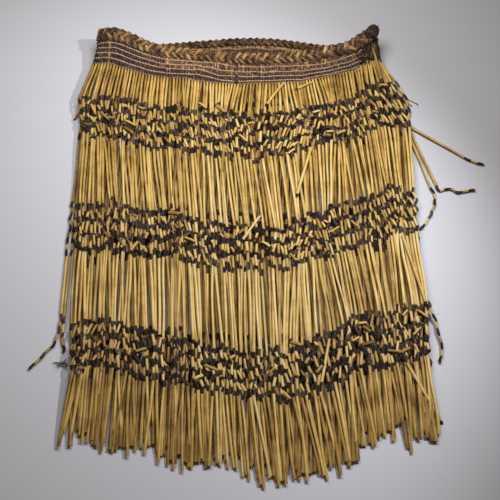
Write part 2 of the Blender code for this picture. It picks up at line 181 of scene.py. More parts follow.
# %% The two groups
def long_fibre_group():
    """Streaks along the fibre: noise on the Grain map, drawn out lengthways, with its contrast raised."""
    tree, given, result = new_group(
        "long fibre", {"Streaks per mm": 1.6, "Breaks per mm": 0.02, "Contrast": 1.5}, "Streak"
    )
    grain = put(tree, "ShaderNodeUVMap", uv_map="Grain").outputs["UV"]
    scale = put(tree, "ShaderNodeCombineXYZ", {"X": given["Streaks per mm"], "Y": given["Breaks per mm"]})
    both = {0: grain, 1: scale.outputs["Vector"]}
    drawn_out = put(tree, "ShaderNodeVectorMath", both, operation="MULTIPLY").outputs["Vector"]
    settings = {"Vector": drawn_out, "Scale": 1.0, "Detail": 3.0, "Roughness": 0.6}
    noise = put(tree, "ShaderNodeTexNoise", settings, noise_dimensions="2D")
    centred = reckon(tree, "SUBTRACT", noise.outputs["Fac"], 0.5)
    stronger = reckon(tree, "MULTIPLY", centred, given["Contrast"])
    tree.links.new(reckon(tree, "ADD", stronger, 0.5, clamp=True), result)
    return tree


def age_marks_group():
    """Soft patches through the whole object: only the high parts of a coarse noise."""
    tree, given, result = new_group("age marks", {"Patch per m": 45.0, "Cover": 0.5}, "Mark")
    place = put(tree, "ShaderNodeTexCoord").outputs["Object"]
    settings = {"Vector": place, "Scale": given["Patch per m"], "Detail": 4.0, "Roughness": 0.62}
    noise = put(tree, "ShaderNodeTexNoise", settings)
    high_parts = {"Value": noise.outputs["Fac"], "From Min": 0.42, "From Max": 0.72}
    patches = put(tree, "ShaderNodeMapRange", high_parts).outputs["Result"]
    tree.links.new(reckon(tree, "MULTIPLY", patches, given["Cover"], clamp=True), result)
    return tree


LONG_FIBRE = long_fibre_group()
AGE_MARKS = age_marks_group()
print("groups:", LONG_FIBRE.name, "and", AGE_MARKS.name)


# %% [markdown]
# Each vertex also carries two numbers. *tone* is the shade of its own strand, thread or strip, because
# no two leaves dry to the same colour. *dark* is mostly painted shade, and says how deep it lies: 0 on the
# outside of a tube, and 1 down in its hollow end. A colour ramp turns the tone, the streaks and the marks
# into one fibre colour.

# %% The fibre finish
# painted shade: the dark brown that the dark mask mixes into every fibre colour
PAINTED_SHADE_COLOUR = (0.020, 0.009, 0.003, 1.0)
RIDGE_STRENGTH = 0.6
POLISH = 0.2  # a pale streak is this much smoother than a dark one


def fibre_finish(name, ramp, fibre, tone_weight, streak_weight, mark_cover, rough, bump, shine):
    """A finish for one kind of fibre. ramp lists (position, colour) from its darkest to its palest, and
    fibre holds its streaks and breaks per millimetre and their contrast."""
    made = bpy.data.materials.new(name)
    made.use_nodes = True
    tree = made.node_tree
    shader = tree.nodes["Principled BSDF"].inputs
    tone = put(tree, "ShaderNodeAttribute", attribute_name="tone").outputs["Fac"]
    dark = put(tree, "ShaderNodeAttribute", attribute_name="dark").outputs["Fac"]
    fibre = dict(zip(("Streaks per mm", "Breaks per mm", "Contrast"), fibre))
    streak = put(tree, "ShaderNodeGroup", fibre, node_tree=LONG_FIBRE).outputs["Streak"]
    mark = put(tree, "ShaderNodeGroup", {"Cover": mark_cover}, node_tree=AGE_MARKS).outputs["Mark"]

    own = reckon(tree, "MULTIPLY_ADD", tone, tone_weight, 0.5 - tone_weight / 2 - streak_weight / 2)
    mixed = reckon(tree, "MULTIPLY_ADD", streak, streak_weight, own)
    aged = reckon(tree, "SUBTRACT", mixed, mark, clamp=True)
    colours = put(tree, "ShaderNodeValToRGB", {"Fac": aged})
    stops = colours.color_ramp.elements
    while len(stops) < len(ramp):
        stops.new(0.5)
    for stop, (position, colour) in zip(stops, ramp):
        stop.position, stop.color = position, (*colour, 1.0)

    # painted shade: the dark mask mixes the fibre colour towards a dark brown
    mix = {"Factor": dark, "A": colours.outputs["Color"], "B": PAINTED_SHADE_COLOUR}
    shade = put(tree, "ShaderNodeMix", mix, data_type="RGBA", blend_type="MIX")
    worn = reckon(tree, "MULTIPLY_ADD", streak, -POLISH, rough + POLISH / 2)
    ridge = put(tree, "ShaderNodeBump", {"Height": streak, "Strength": RIDGE_STRENGTH, "Distance": bump * MM})
    tree.links.new(shade.outputs["Result"], shader["Base Color"])
    tree.links.new(worn, shader["Roughness"])
    tree.links.new(ridge.outputs["Normal"], shader["Normal"])
    shader["Specular IOR Level"].default_value = shine
    return made


LEAF_RAMP = [
    (0.0, (0.180, 0.086, 0.017)),
    (0.3, (0.465, 0.266, 0.058)),
    (0.6, (0.735, 0.480, 0.132)),
    (1.0, (0.870, 0.700, 0.385)),
]
BLACK_RAMP = [(0.0, (0.008, 0.005, 0.004)), (0.5, (0.034, 0.020, 0.015)), (1.0, (0.235, 0.168, 0.125))]
WARP_RAMP = [
    (0.0, (0.010, 0.006, 0.006)),
    (0.35, (0.046, 0.028, 0.024)),
    (0.65, (0.200, 0.098, 0.034)),
    (1.0, (0.560, 0.340, 0.140)),
]
WEFT_RAMP = [(0.0, (0.250, 0.125, 0.062)), (0.5, (0.580, 0.350, 0.190)), (1.0, (0.780, 0.560, 0.360))]
PLAIT_RAMP = [
    (0.0, (0.014, 0.009, 0.007)),
    (0.35, (0.094, 0.045, 0.016)),
    (0.65, (0.390, 0.200, 0.066)),
    (1.0, (0.680, 0.432, 0.195)),
]
leaf = fibre_finish(
    "rolled flax leaf", LEAF_RAMP, fibre=(1.5, 0.02, 1.6),
    tone_weight=0.55, streak_weight=0.34, mark_cover=0.3, rough=0.46, bump=0.12, shine=0.28,
)
black = fibre_finish(
    "mud black fibre", BLACK_RAMP, fibre=(5.0, 0.2, 2.4),
    tone_weight=0.65, streak_weight=0.6, mark_cover=0.15, rough=0.62, bump=0.25, shine=0.25,
)
warp = fibre_finish(
    "band warps", WARP_RAMP, fibre=(0.5, 0.14, 3.2),
    tone_weight=0.85, streak_weight=0.6, mark_cover=0.1, rough=0.7, bump=0.3, shine=0.2,
)
weft = fibre_finish(
    "twined weft", WEFT_RAMP, fibre=(4.0, 0.15, 1.6),
    tone_weight=0.4, streak_weight=0.5, mark_cover=0.25, rough=0.6, bump=0.15, shine=0.3,
)
braid = fibre_finish(
    "plaited flax", PLAIT_RAMP, fibre=(2.5, 0.05, 1.8),
    tone_weight=0.75, streak_weight=0.4, mark_cover=0.3, rough=0.55, bump=0.2, shine=0.35,
)

stone = bpy.data.materials.new("pale floor")
stone.use_nodes = True
stone.node_tree.nodes["Principled BSDF"].inputs["Base Color"].default_value = (*FLOOR_COLOUR, 1.0)
stone.node_tree.nodes["Principled BSDF"].inputs["Roughness"].default_value = FLOOR_ROUGHNESS
floor.data.materials.append(stone)
print("finishes:", ", ".join(m.name for m in (leaf, black, warp, weft, braid)))

# %% [markdown]
# ## A bundle of fibres
#
# Nearly every piece is many thin tubes: strands, threads, plait strips. A *Bundle* collects them and
# makes one mesh at the end, which is far quicker than joining thousands of objects. A tube is a row of
# rings. Each ring is a section, drawn square to the line that the tube follows.

# %% The Bundle
ON_FLOOR = 0.05  # nothing is pressed nearer to the floor than this


def unit(vectors):
    return vectors / np.maximum(np.linalg.norm(vectors, axis=-1, keepdims=True), 1e-9)


def ring_frames(line, up=UP):
    """The ways sideways and up at each point of a line."""
    along = unit(np.gradient(line, axis=0))
    side = np.cross(along, up)
    weak = np.linalg.norm(side, axis=1) < 0.05
    side[weak] = np.cross(along[weak], (1.0, 0.0, 0.0))
    side = unit(side)
    return side, np.cross(side, along)


def sweep(line, section, radius, turn=0.0, up=UP, flat=1.0):
    """Rings of a tube. radius and turn may change along it; flat below 1 presses it down."""
    side, high = ring_frames(line, up)
    radius = np.broadcast_to(radius, len(line))[:, None, None]
    turn = np.broadcast_to(turn, len(line))
    x, y = section[:, 0], section[:, 1]
    across = x * np.cos(turn)[:, None] - y * np.sin(turn)[:, None]
    upwards = (x * np.sin(turn)[:, None] + y * np.cos(turn)[:, None]) * flat
    outwards = across[:, :, None] * side[:, None] + upwards[:, :, None] * high[:, None]
    return line[:, None, :] + radius * outwards


def round_section(sides):
    angle = 2 * math.pi * np.arange(sides) / sides
    return np.stack([np.cos(angle), np.sin(angle)], axis=-1)


def rolled_section(sides, lap=0.12):
    """The section of a rolled leaf: its outer edge laps over, so the radius steps at the seam."""
    radius = 1 - lap * (1 - np.arange(sides) / (sides - 1))
    return round_section(sides) * radius[:, None]


def lengths_along(line):
    """How far along a line each of its points is."""
    return np.concatenate([[0.0], np.cumsum(np.linalg.norm(np.diff(line, axis=0), axis=1))])


class Bundle:
    """Collects tubes, and ties them into one mesh. Sizes are in millimetres until then."""

    def __init__(self, name, *materials):
        self.name, self.materials = name, materials
        self.points, self.tone, self.dark = [], [], []
        self.loops, self.sizes, self.looks, self.grain = [], [], [], []
        self.count = 0

    def tube(self, rings, look=0, tone=0.5, dark=0.0, caps=(True, True), crosswise=False):
        """rings holds the tube's rings of points, caps says which ends are closed, and crosswise that
        the fibres run round it. tone and dark are for the whole tube, each ring or each point."""
        rows, sides = rings.shape[:2]
        index = self.count + np.arange(rows * sides).reshape(rows, sides)
        after = np.roll(index, -1, axis=1)
        quads = np.stack([index[:-1], after[:-1], after[1:], index[1:]], axis=-1)
        self.loops.append(quads.reshape(-1))
        start = chance.uniform(0.0, 900.0, 2)
        uv = self.unrolled(rings, start)
        self.grain.append(uv[:, ::-1] if crosswise else uv)
        faces = (rows - 1) * sides
        self.sizes += [4] * faces
        self.looks += [look] * faces
        for closed, cap in zip(caps, (index[0][::-1], index[-1])):
            if closed:
                self.loops.append(cap)
                self.grain.append(start + round_section(sides))
                self.sizes.append(sides)
                self.looks.append(look)
        self.points.append(rings.reshape(-1, 3))
        for kept, values in ((self.tone, tone), (self.dark, dark)):
            values = np.asarray(values, float)
            values = values[:, None] if values.ndim == 1 else values
            kept.append(np.broadcast_to(values, (rows, sides)).reshape(-1))
        self.count += rows * sides

    @staticmethod
    def unrolled(rings, start):
        """The corners of the tube's faces on the Grain map: in millimetres across and along the fibre."""
        sides = rings.shape[1]
        girth = np.linalg.norm(np.roll(rings, -1, axis=1) - rings, axis=2).sum(axis=1).max()
        across = start[0] + girth * np.arange(sides + 1) / sides
        along = start[1] + lengths_along(rings.mean(axis=1))
        left, near = np.meshgrid(across[:-1], along[:-1])
        right, far = np.meshgrid(across[1:], along[1:])
        corners = ((left, near), (right, near), (right, far), (left, far))
        return np.stack([np.stack(corner, -1) for corner in corners], axis=2).reshape(-1, 2)

    def tie(self, sharp=45.0):
        """Makes the mesh object."""
        mesh = bpy.data.meshes.new(self.name)
        points, loops = np.concatenate(self.points) * MM, np.concatenate(self.loops)
        mesh.vertices.add(len(points))
        mesh.vertices.foreach_set("co", points.ravel())
        mesh.loops.add(len(loops))
        mesh.loops.foreach_set("vertex_index", loops.astype(np.int32))
        mesh.polygons.add(len(self.sizes))
        first_loops = np.concatenate([[0], np.cumsum(self.sizes)[:-1]])
        mesh.polygons.foreach_set("loop_start", first_loops.astype(np.int32))
        mesh.polygons.foreach_set("material_index", np.array(self.looks, np.int32))
        mesh.polygons.foreach_set("use_smooth", np.ones(len(self.sizes), bool))
        for label, values in (("tone", self.tone), ("dark", self.dark)):
            mesh.attributes.new(label, "FLOAT", "POINT").data.foreach_set("value", np.concatenate(values))
        grain = mesh.uv_layers.new(name="Grain")
        grain.uv.foreach_set("vector", np.concatenate(self.grain).ravel())
        mesh.update(calc_edges=True)
        mesh.set_sharp_from_angle(angle=math.radians(sharp))
        for material in self.materials:
            mesh.materials.append(material)
        made = bpy.data.objects.new(self.name, mesh)
        bpy.context.scene.collection.objects.link(made)
        triangles, lowest = sum(self.sizes) - 2 * len(self.sizes), points[:, 2].min() / MM
        print(f"{self.name}: {len(self.points)} tubes, {triangles} triangles, lowest at {lowest:.2f} mm")
        return made


# %% [markdown]
# ## The loop of the waist
#
# The waistband is a loop that lies closed on itself. Two lines describe it: the root line, along the
# band's lower edge, where the strands hang, and the plait line along its top edge. Both run from the
# right end of the front, round the left corner, along the floor and up over the right corner. A smooth
# curve through a few stations gives both lines, and every other piece takes its place from them.

# %% Stations of the loop
BAND_DEPTH = 40.0
BAND_WALL = 2.4
PLAIT_WIDTH = 17.0
#    root x,  root y, root z, plait x, plait y, plait z
FRONT_RUN = (
    (178.0, -23.0, 20.0, 187.0, 29.5, 36.0),
    (153.0, -28.0, 16.5, 154.0, 15.0, 25.5),
    (124.0, -33.0, 13.0, 124.0, 7.0, 19.5),
    (85.0, -40.0, 11.6, 85.0, 2.5, 16.5),
    (30.0, -44.5, 11.0, 30.0, -1.5, 16.0),
    (-20.0, -44.5, 11.0, -20.0, 1.0, 16.0),
    (-60.0, -41.0, 11.2, -60.0, 5.0, 16.0),
    (-100.0, -36.5, 12.0, -100.0, 8.5, 17.5),
    (-130.0, -33.0, 13.6, -130.0, 12.5, 21.5),
    (-161.0, -25.0, 16.5, -161.0, 22.5, 30.0),
    (-190.0, -14.5, 19.6, -184.0, 29.0, 35.6),
)
#    x,  root y, plait y
BACK_RUN = (
    (-188.0, -19.5, 28.0),
    (-150.0, -24.5, 23.5),
    (-106.0, -23.0, 25.0),
    (-54.0, -17.5, 30.5),
    (0.0, -12.5, 35.5),
    (50.0, -13.5, 34.5),
    (90.0, -20.0, 28.0),
    (130.0, -26.5, 21.5),
    (165.0, -25.5, 22.5),
    (188.0, -20.5, 27.5),
)
BACK_ROOT_HEIGHT, BACK_PLAIT_HEIGHT = 1.2, 9.0
BACK_FLAT, BACK_RISE = 0.68, 0.6  # the back lies flat up to this share of its depth, then rises this much
BACK_TALLER, TALLER_FROM = 5.5, 0.85  # the plait is narrower at the back, and the band reaches up to it
#              x of the turn, y, height at the top
LEFT_ROOTS, LEFT_PLAIT = (-210.0, -12.5, 20.0), (-199.0, 29.5, 36.4)
RIGHT_ROOTS, RIGHT_PLAIT = (200.0, -11.5, 24.0), (194.0, 28.0, 32.0)
TURNED_END = (186.0, -13.0, 24.6, 196.0, 24.0, 36.0)
CORNER_STEPS = 6
STATION_STEPS = 12


def smooth_step(share):
    share = np.clip(share, 0.0, 1.0)
    return share * share * (3.0 - 2.0 * share)


def curve_through(points, per_span):
    """A smooth curve through the points, with per_span steps between each pair (Catmull-Rom)."""
    points = np.asarray(points, float)
    padded = np.vstack([2 * points[0] - points[1], points, 2 * points[-1] - points[-2]])
    t = np.arange(per_span)[:, None] / per_span
    found = []
    for i in range(len(points) - 1):
        a, b, c, d = padded[i : i + 4]
        bend = (c - a) * t + (2 * a - 5 * b + 4 * c - d) * t**2 + (3 * b - a - 3 * c + d) * t**3
        found.append(b + 0.5 * bend)
    return np.vstack(found + [points[-1:]])


def half_turn(top, bottom_height, side, share):
    """A point on a corner's half turn, from its top (share 0) round to its bottom (share 1)."""
    radius = (top[2] - bottom_height) / 2
    angle = math.pi * share
    return (top[0] + side * radius * math.sin(angle), top[1], top[2] - radius + radius * math.cos(angle))


def corner_station(roots, plait, side, share):
    root = half_turn(roots, BACK_ROOT_HEIGHT, side, share)
    return (*root, *half_turn(plait, BACK_PLAIT_HEIGHT, side, share), smooth_step(share))


def waist_stations():
    """Both lines as rows of a root point, a plait point, and how far the band there lies on the floor."""
    shares = [step / CORNER_STEPS for step in range(1, CORNER_STEPS)]
    rows = [(*row, 0.0) for row in FRONT_RUN]
    rows += [corner_station(LEFT_ROOTS, LEFT_PLAIT, -1, share) for share in shares]
    for x, root_y, plait_y in BACK_RUN:
        rows.append((x, root_y, BACK_ROOT_HEIGHT, x, plait_y, BACK_PLAIT_HEIGHT, 1.0))
    rows += [corner_station(RIGHT_ROOTS, RIGHT_PLAIT, 1, 1 - share) for share in shares]
    return rows + [(*TURNED_END, 0.0)]


# %% [markdown]
# The band is then a sheet between the two lines. A distance along the loop and a share of the way up name
# any point of it, and every thread and strand is placed by these two. So a change to the stations moves
# all that hangs on the band with it, and no thread is left in the air.

# %% The waist as smooth lines
# The old band sags unevenly between its strands: at these places its lower edge hangs this much lower.
SAG_AT = (-217, -200, -185, -135, -105, -92, -76, -66, -47, -11, 7, 25, 52, 79, 92, 104, 166, 180)
SAG = (2.2, 1.0, 1.2, 0.0, 0.2, -1.2, -2.4, 0.6, 1.4, 1.6, 2.8, 1.2, 2.0, 2.4, 4.0, 1.8, 1.6, 0.0)


def sag_at(x):
    return np.interp(x, SAG_AT, SAG, right=0.0)


rows = curve_through(waist_stations(), STATION_STEPS)
ROOT_LINE, PLAIT_LINE, LIES = rows[:, 0:3], rows[:, 3:6], np.clip(rows[:, 6], 0.0, 1.0)
ROOT_LINE[LIES > 0.999, 2] = BACK_ROOT_HEIGHT
PLAIT_LINE[LIES > 0.999, 2] = BACK_PLAIT_HEIGHT
LENGTH = lengths_along(ROOT_LINE)
WAIST_ALONG = unit(np.gradient(PLAIT_LINE, axis=0))
reach = PLAIT_LINE - ROOT_LINE
WAIST_ACROSS = unit(reach - WAIST_ALONG * (WAIST_ALONG * reach).sum(axis=1, keepdims=True))
ROOT_LINE = ROOT_LINE - WAIST_ACROSS * (sag_at(ROOT_LINE[:, 0]) * (1 - LIES))[:, None]


def waist_at(values, length):
    """A value of the loop, such as its root line, at this distance along it."""
    values = np.asarray(values)
    if values.ndim == 1:
        return np.interp(length, LENGTH, values)
    return np.stack([np.interp(length, LENGTH, values[:, k]) for k in range(values.shape[1])], axis=-1)


def band_surface(length, depth, out=0.0):
    """Points of the band: this far along, this share of the way up, and this far out of its middle."""
    root, plait = waist_at(ROOT_LINE, length), waist_at(PLAIT_LINE, length)
    lies = waist_at(LIES, length)
    upwards = unit(waist_at(WAIST_ACROSS, length))
    top = plait - upwards * (PLAIT_WIDTH / 2)

    def middle(share):
        point = root + (top - root) * share[..., None]
        rise = BACK_RISE * np.clip((share - BACK_FLAT) / (1 - BACK_FLAT), 0.0, None) ** 2
        point[..., 2] = root[..., 2] + (top - root)[..., 2] * ((1 - lies) * share + lies * rise)
        return point

    depth = np.broadcast_to(depth, np.shape(length)).astype(float)
    here, higher = middle(depth), middle(depth + 0.02)
    along = unit(waist_at(ROOT_LINE, length + 2.0) - waist_at(ROOT_LINE, length - 2.0))
    normal = unit(np.cross(higher - here, along))
    taller = BACK_TALLER * lies * smooth_step((depth - TALLER_FROM) / (1 - TALLER_FROM))
    here = here + upwards * taller[..., None]
    return here + normal * np.broadcast_to(out, np.shape(length))[..., None]


print(f"the loop is {LENGTH[-1]:.0f} mm round")


# %% [markdown]
# ## The twined band
#
# The fibres of the strands, the warps, run up through the band side by side. The band is thin, so it is
# one closed shell, and each warp is a low rib across it. On the front most warps are black. Some, and
# most of the upper ones in the middle, were never dyed and are golden brown.

# %% Band shell
WARP_PITCH = 1.9
WARP_SAMPLES = 3
WARP_RIB = 0.32
BAND_LINES = 13
BAND_FROM, BAND_TO = -0.035, 1.03  # the shell's lower and upper edge, as shares of the band's depth
EDGE_THINNER = 0.55
THIN_ON_FLOOR = 0.42  # the back run is pressed this thin, so that its wefts stay above the floor
JOIN_AT = 185.0  # along the loop, where one length of weft ends and the next begins
WAVE_OUT, WAVE_PITCH = 0.5, 45.0
CELLS = 5  # each warp shows in this many places, between the rows of weft
GOLDEN_TONE = 0.29
GOLDEN_ABOVE, GOLDEN_RIGHT_OF = 0.28, -165.0  # it begins at this share of the depth, and at this x
PALE_GROUP_X, PALE_GROUP_HALF = -194.0, 2.2
PALE_LUCK = 0.72
INSIDE_TONE = 0.30
INSIDE_DARK, INSIDE_FROM, INSIDE_FADE = 0.85, 1.01, 0.07  # no light gets in there


def wander(length, size, pitch, seed):
    """A smooth wander along a line, of this size, whose waves are about this long."""
    own = np.random.default_rng(seed)
    phases, stretch = own.uniform(0, 2 * math.pi, 4), own.uniform(0.6, 1.6, 4)
    waves = [np.sin(2 * math.pi * length / (pitch * k) + phase) for phase, k in zip(phases, stretch)]
    return size * sum(waves) / 2


def thickness_at(length):
    return 1 - (1 - THIN_ON_FLOOR) * waist_at(LIES, length)


def band_wave(length, share):
    """How far the loose old weave bulges out of the band, which is held at its edges and by the floor."""
    lies = waist_at(LIES, length)
    bulge = wander(length, WAVE_OUT, WAVE_PITCH, 3) * (4 * share * (1 - share)).clip(0)
    return bulge * (1 - 0.5 * lies) * (1 - lies)


def warp_tones(x, lies, depth, own, cell):
    """How light a warp is there: 0 is black and 1 is pale. own is its own luck, from 0 to 1, and cell
    its luck between two rows of weft, because a warp often goes under its neighbour there."""
    golden = GOLDEN_TONE * smooth_step((depth - GOLDEN_ABOVE) / 0.3)
    golden = golden * smooth_step((x - GOLDEN_RIGHT_OF) / 70.0)
    pale_group = 0.55 * np.exp(-(((x - PALE_GROUP_X) / PALE_GROUP_HALF) ** 2)) * (0.5 + 0.7 * cell)
    pale_one = 0.40 * (own * cell > PALE_LUCK) * (0.35 + golden)
    inside = INSIDE_TONE * smooth_step(lies * 2 - 1)
    plain = 0.06 + 0.12 * own + 0.2 * cell + golden * (0.5 + 0.8 * cell)
    return np.clip(plain + pale_group + pale_one + inside, 0.0, 1.0)


stations = np.arange(0.0, LENGTH[-1], WARP_PITCH / WARP_SAMPLES)
lies_here = waist_at(LIES, stations)
warp_number = (stations / WARP_PITCH).astype(int)
warp_luck = chance.uniform(0, 1, warp_number[-1] + 1)[warp_number]
cell_luck = chance.uniform(0, 1, (warp_number[-1] + 1, CELLS))[warp_number]
rib = WARP_RIB * np.abs(np.sin(math.pi * stations / WARP_PITCH + 0.4)) ** 0.7
depths = np.linspace(BAND_FROM, BAND_TO, BAND_LINES)
half_wall = (BAND_WALL / 2 - WARP_RIB - 0.15) * thickness_at(stations)
lines = []
for sign, face in ((1, depths), (-1, depths[::-1])):
    for depth in face:
        edge = 1 - EDGE_THINNER * (depth in (depths[0], depths[-1]))
        out = sign * (half_wall + rib * thickness_at(stations)) * edge + band_wave(stations, depth)
        lines.append(band_surface(stations, depth, out))
rings = np.stack(lines, axis=1)
ring_depths = np.concatenate([depths, depths[::-1]])
ring_cells = cell_luck[:, np.clip((ring_depths * 4.5).astype(int), 0, CELLS - 1)]
tones = warp_tones(rings[:, :, 0], lies_here[:, None], ring_depths[None, :], warp_luck[:, None], ring_cells)
inwards = smooth_step((INSIDE_FROM - ring_depths) / INSIDE_FADE)
deep_inside = INSIDE_DARK * lies_here[:, None] * inwards[None, :]
band_ground = Bundle("band_ground", warp)
band_ground.tube(rings, tone=tones, dark=deep_inside, crosswise=True)
band = band_ground.tie(60.0)

# %% [markdown]
# Five rows of pale weft hold the warps. In twining, two threads go along together, one on each side of
# the warps, and they change sides between one warp bundle and the next. So each row is two helices
# round the band's wall: on both faces they show as a line of small slanted beads. At the right end of
# the front each row ends in two small loops.

# %% Weft rows
WEFT_ROWS = 5
# How high each row runs above the band's lower edge. The rows wander, because the loose warps let them.
ROWS_AT = (-205.0, -178.0, -102.0, -74.0, -62.0, -29.0, 0.0, 67.0, 106.0, 159.0)
FRONT_ROWS = (
    (0.8, 0.8, 0.8, 0.8, 0.8, 0.8, 0.6, 0.0, -0.8, -1.2),
    (9.4, 9.4, 8.0, 8.5, 13.0, 5.8, 4.8, 4.6, 2.9, 2.2),
    (17.8, 17.8, 17.4, 17.8, 22.0, 14.4, 13.5, 12.4, 10.3, 8.8),
    (26.3, 26.3, 25.3, 26.8, 29.5, 24.4, 22.6, 20.8, 18.0, 15.4),
    (34.0, 34.0, 34.6, 34.6, 36.0, 35.5, 31.9, 31.2, 27.5, 24.8),
)
BACK_ROWS = (2.7, 11.4, 20.0, 28.6, 38.0)
WEFT_PITCH = 8.0
WEFT_SAMPLES = 8
WEFT_RADIUS = 0.95
WEFT_SWAY = 0.5
WEFT_OUT = 1.15
WEFT_FROM, WEFT_STOP = 1.0, 22.0  # a row begins this far along the loop, and stops this far before its end
JOIN_GAP = 2.5
JOIN_STEP = 1.7  # where two lengths of weft meet, one runs this much higher
JOIN_FADE = 14.0
LOOPS_AT, LOOPS_OUT, LOOP_RADIUS = 1.5, 1.3, 0.6


def row_level(row, along):
    """How high a row of weft runs above the lower edge of the band, this far along the loop."""
    front = np.interp(waist_at(ROOT_LINE[:, 0], along), ROWS_AT, FRONT_ROWS[row])
    return front + (BACK_ROWS[row] - front) * waist_at(LIES, along)


def weft_thread(row, which, along, height):
    """One of the two threads of a row, which runs at these heights. Gives its rings, and the tone and the
    dark of each: painted light makes it paler where it passes over the warps, and painted shade darker where
    it dives, so the beads show."""
    faint = 1.0 if row == 0 else 0.0  # the lowest row is drawn darker and thinner, and half hidden by the strands
    lies = waist_at(LIES, along)
    angle = 2 * math.pi * along / WEFT_PITCH + math.pi * which + wander(along, 0.3, 30.0, 40 + row)
    over = np.abs(np.cos(angle))
    out = WEFT_OUT * thickness_at(along) * np.sign(np.cos(angle)) * over**0.6  # it crosses over quickly
    share = (height + WEFT_SWAY * np.sin(angle)) / BAND_DEPTH
    line = band_surface(along, share, out + band_wave(along, share))
    radius = WEFT_RADIUS * (0.92 + 0.14 * np.cos(angle) ** 2 + wander(along, 0.12, 9.0, 60 + row))
    radius = radius * (1 - 0.3 * lies) * (1 - 0.15 * faint)
    line[:, 2] = np.maximum(line[:, 2], radius + ON_FLOOR)
    # painted light: the tone is higher where the thread passes over the warps
    tone = 0.25 + 0.55 * over + 0.15 * chance.uniform() + wander(along, 0.18, 25.0, 80 + row) - 0.4 * faint
    dive_shade = 0.5 * (1 - over) ** (1.3 - 0.6 * faint) + 0.25 * faint  # painted shade where it dives
    return sweep(line, round_section(4), radius, math.pi / 4), np.clip(tone, 0, 1), dive_shade


weft_rows = Bundle("weft_rows", weft)
weft_lengths = (
    (WEFT_FROM, JOIN_AT - JOIN_GAP, JOIN_STEP / 2),
    (JOIN_AT + JOIN_GAP, LENGTH[-1] - WEFT_STOP, -JOIN_STEP / 2),
)
for row in range(WEFT_ROWS):
    for first, last, shift in weft_lengths:
        along = np.arange(first, last, WEFT_PITCH / WEFT_SAMPLES)
        fade = np.exp(-np.abs(along - JOIN_AT) / JOIN_FADE)
        height = row_level(row, along) + wander(along, 0.35, 38.0, 20 + row) + shift * fade
        for which in (0, 1):
            thread, tone, dive_shade = weft_thread(row, which, along, height)
            weft_rows.tube(thread, tone=tone, dark=dive_shade)
for row in range(WEFT_ROWS):
    share = row_level(row, LOOPS_AT) / BAND_DEPTH
    start = band_surface(np.array([LOOPS_AT]), share, LOOPS_OUT)[0]
    for side in (-1, 1):
        turn = np.linspace(0, chance.uniform(3.6, 5.4), 9)
        size = chance.uniform(1.1, 1.8)
        along, up = size * np.sin(turn) + 0.9 * turn, size * (1 - np.cos(turn)) * side * 0.7
        line = start + np.stack([along, up, 1.2 * np.sin(turn / 2)], axis=-1)
        weft_rows.tube(sweep(line, round_section(5), LOOP_RADIUS), tone=chance.uniform(0.2, 0.6))
wefts = weft_rows.tie(70.0)

# %% [markdown]
# ## The plait
#
# The fibre ends that stand out of the band's top are gathered into one thick plait of three plies. A
# ply swings from edge to edge, and passes over its neighbour on the way: across by a sine, and over and
# under by a sine of twice the rate. Each ply is a handful of flat strips, so it is built of strips too.

# %% Plait
PLAIT_LOBE = 10.2
PLAIT_STEP = 2.1
PLAIT_FROM = -4.0  # it starts this far outside the loop, where it leaves the knot
PLY_SWING = 6.4
PLY_OVER = 2.2
PLY_WIDE, PLY_THICK = 3.3, 1.2
PLAIT_HALF = 7.9  # the plies are pressed flat along both edges
CORE_HALF, CORE_FLAT = 8.2, 0.1  # the fibre inside, painted dark as shade in the notches between the lobes
# The plait was pulled less tight towards its ends: there it is this much wider, and sits this much lower.
PLAIT_AT = (-200.0, -178.0, -102.0, -40.0, 0.0, 67.0, 106.0, 124.0, 141.0, 159.0, 169.0, 187.0)
PLAIT_WIDER = (1.2, 1.22, 1.18, 1.18, 1.22, 1.15, 1.26, 1.3, 1.28, 1.26, 1.3, 1.35)
PLAIT_LOWER = (0.5, 0.7, 0.0, 0.6, 1.6, 1.0, 1.6, 0.8, 3.3, 8.5, 9.5, 8.0)
STRIPS = 10
STRIP_RADIUS = 0.9
STRIP_TWIST = 160.0  # the strips of a ply wind round it once in this length
PLY_TONE, PLY_TONE_STEP = 0.74, 0.12
PLAIT_END_TURN = 0.62
BACK_PLAIT = 0.68  # across the back it was pulled tighter
# painted shade at the plies' edges and where they go under
PLAIT_SHADE_GAIN, PLAIT_SHADE_MOST = 1.25, 0.9

plait_length = lengths_along(PLAIT_LINE)
kept = len(PLAIT_LINE) - round(CORNER_STEPS * STATION_STEPS * (1 - PLAIT_END_TURN))
along = np.arange(PLAIT_FROM, plait_length[kept - 1], PLAIT_STEP)


def plait_at(values, length):
    return np.stack([np.interp(length, plait_length, values[:, k]) for k in range(3)], axis=-1)


middle = plait_at(PLAIT_LINE, along)
middle[along < 0] += np.outer(along[along < 0], WAIST_ALONG[0])
across = unit(plait_at(WAIST_ACROSS, along))
ahead = unit(plait_at(WAIST_ALONG, along))
outward = unit(np.cross(across, ahead))
in_front = 1 - np.interp(along, plait_length, LIES)
wider = BACK_PLAIT + (np.interp(middle[:, 0], PLAIT_AT, PLAIT_WIDER) - BACK_PLAIT) * in_front
lower = np.interp(middle[:, 0], PLAIT_AT, PLAIT_LOWER) * in_front
middle = middle - across * lower[:, None] + outward * (0.2 * lower)[:, None]
middle = middle + across * (PLAIT_HALF * (1 - BACK_PLAIT) * (1 - in_front))[:, None]

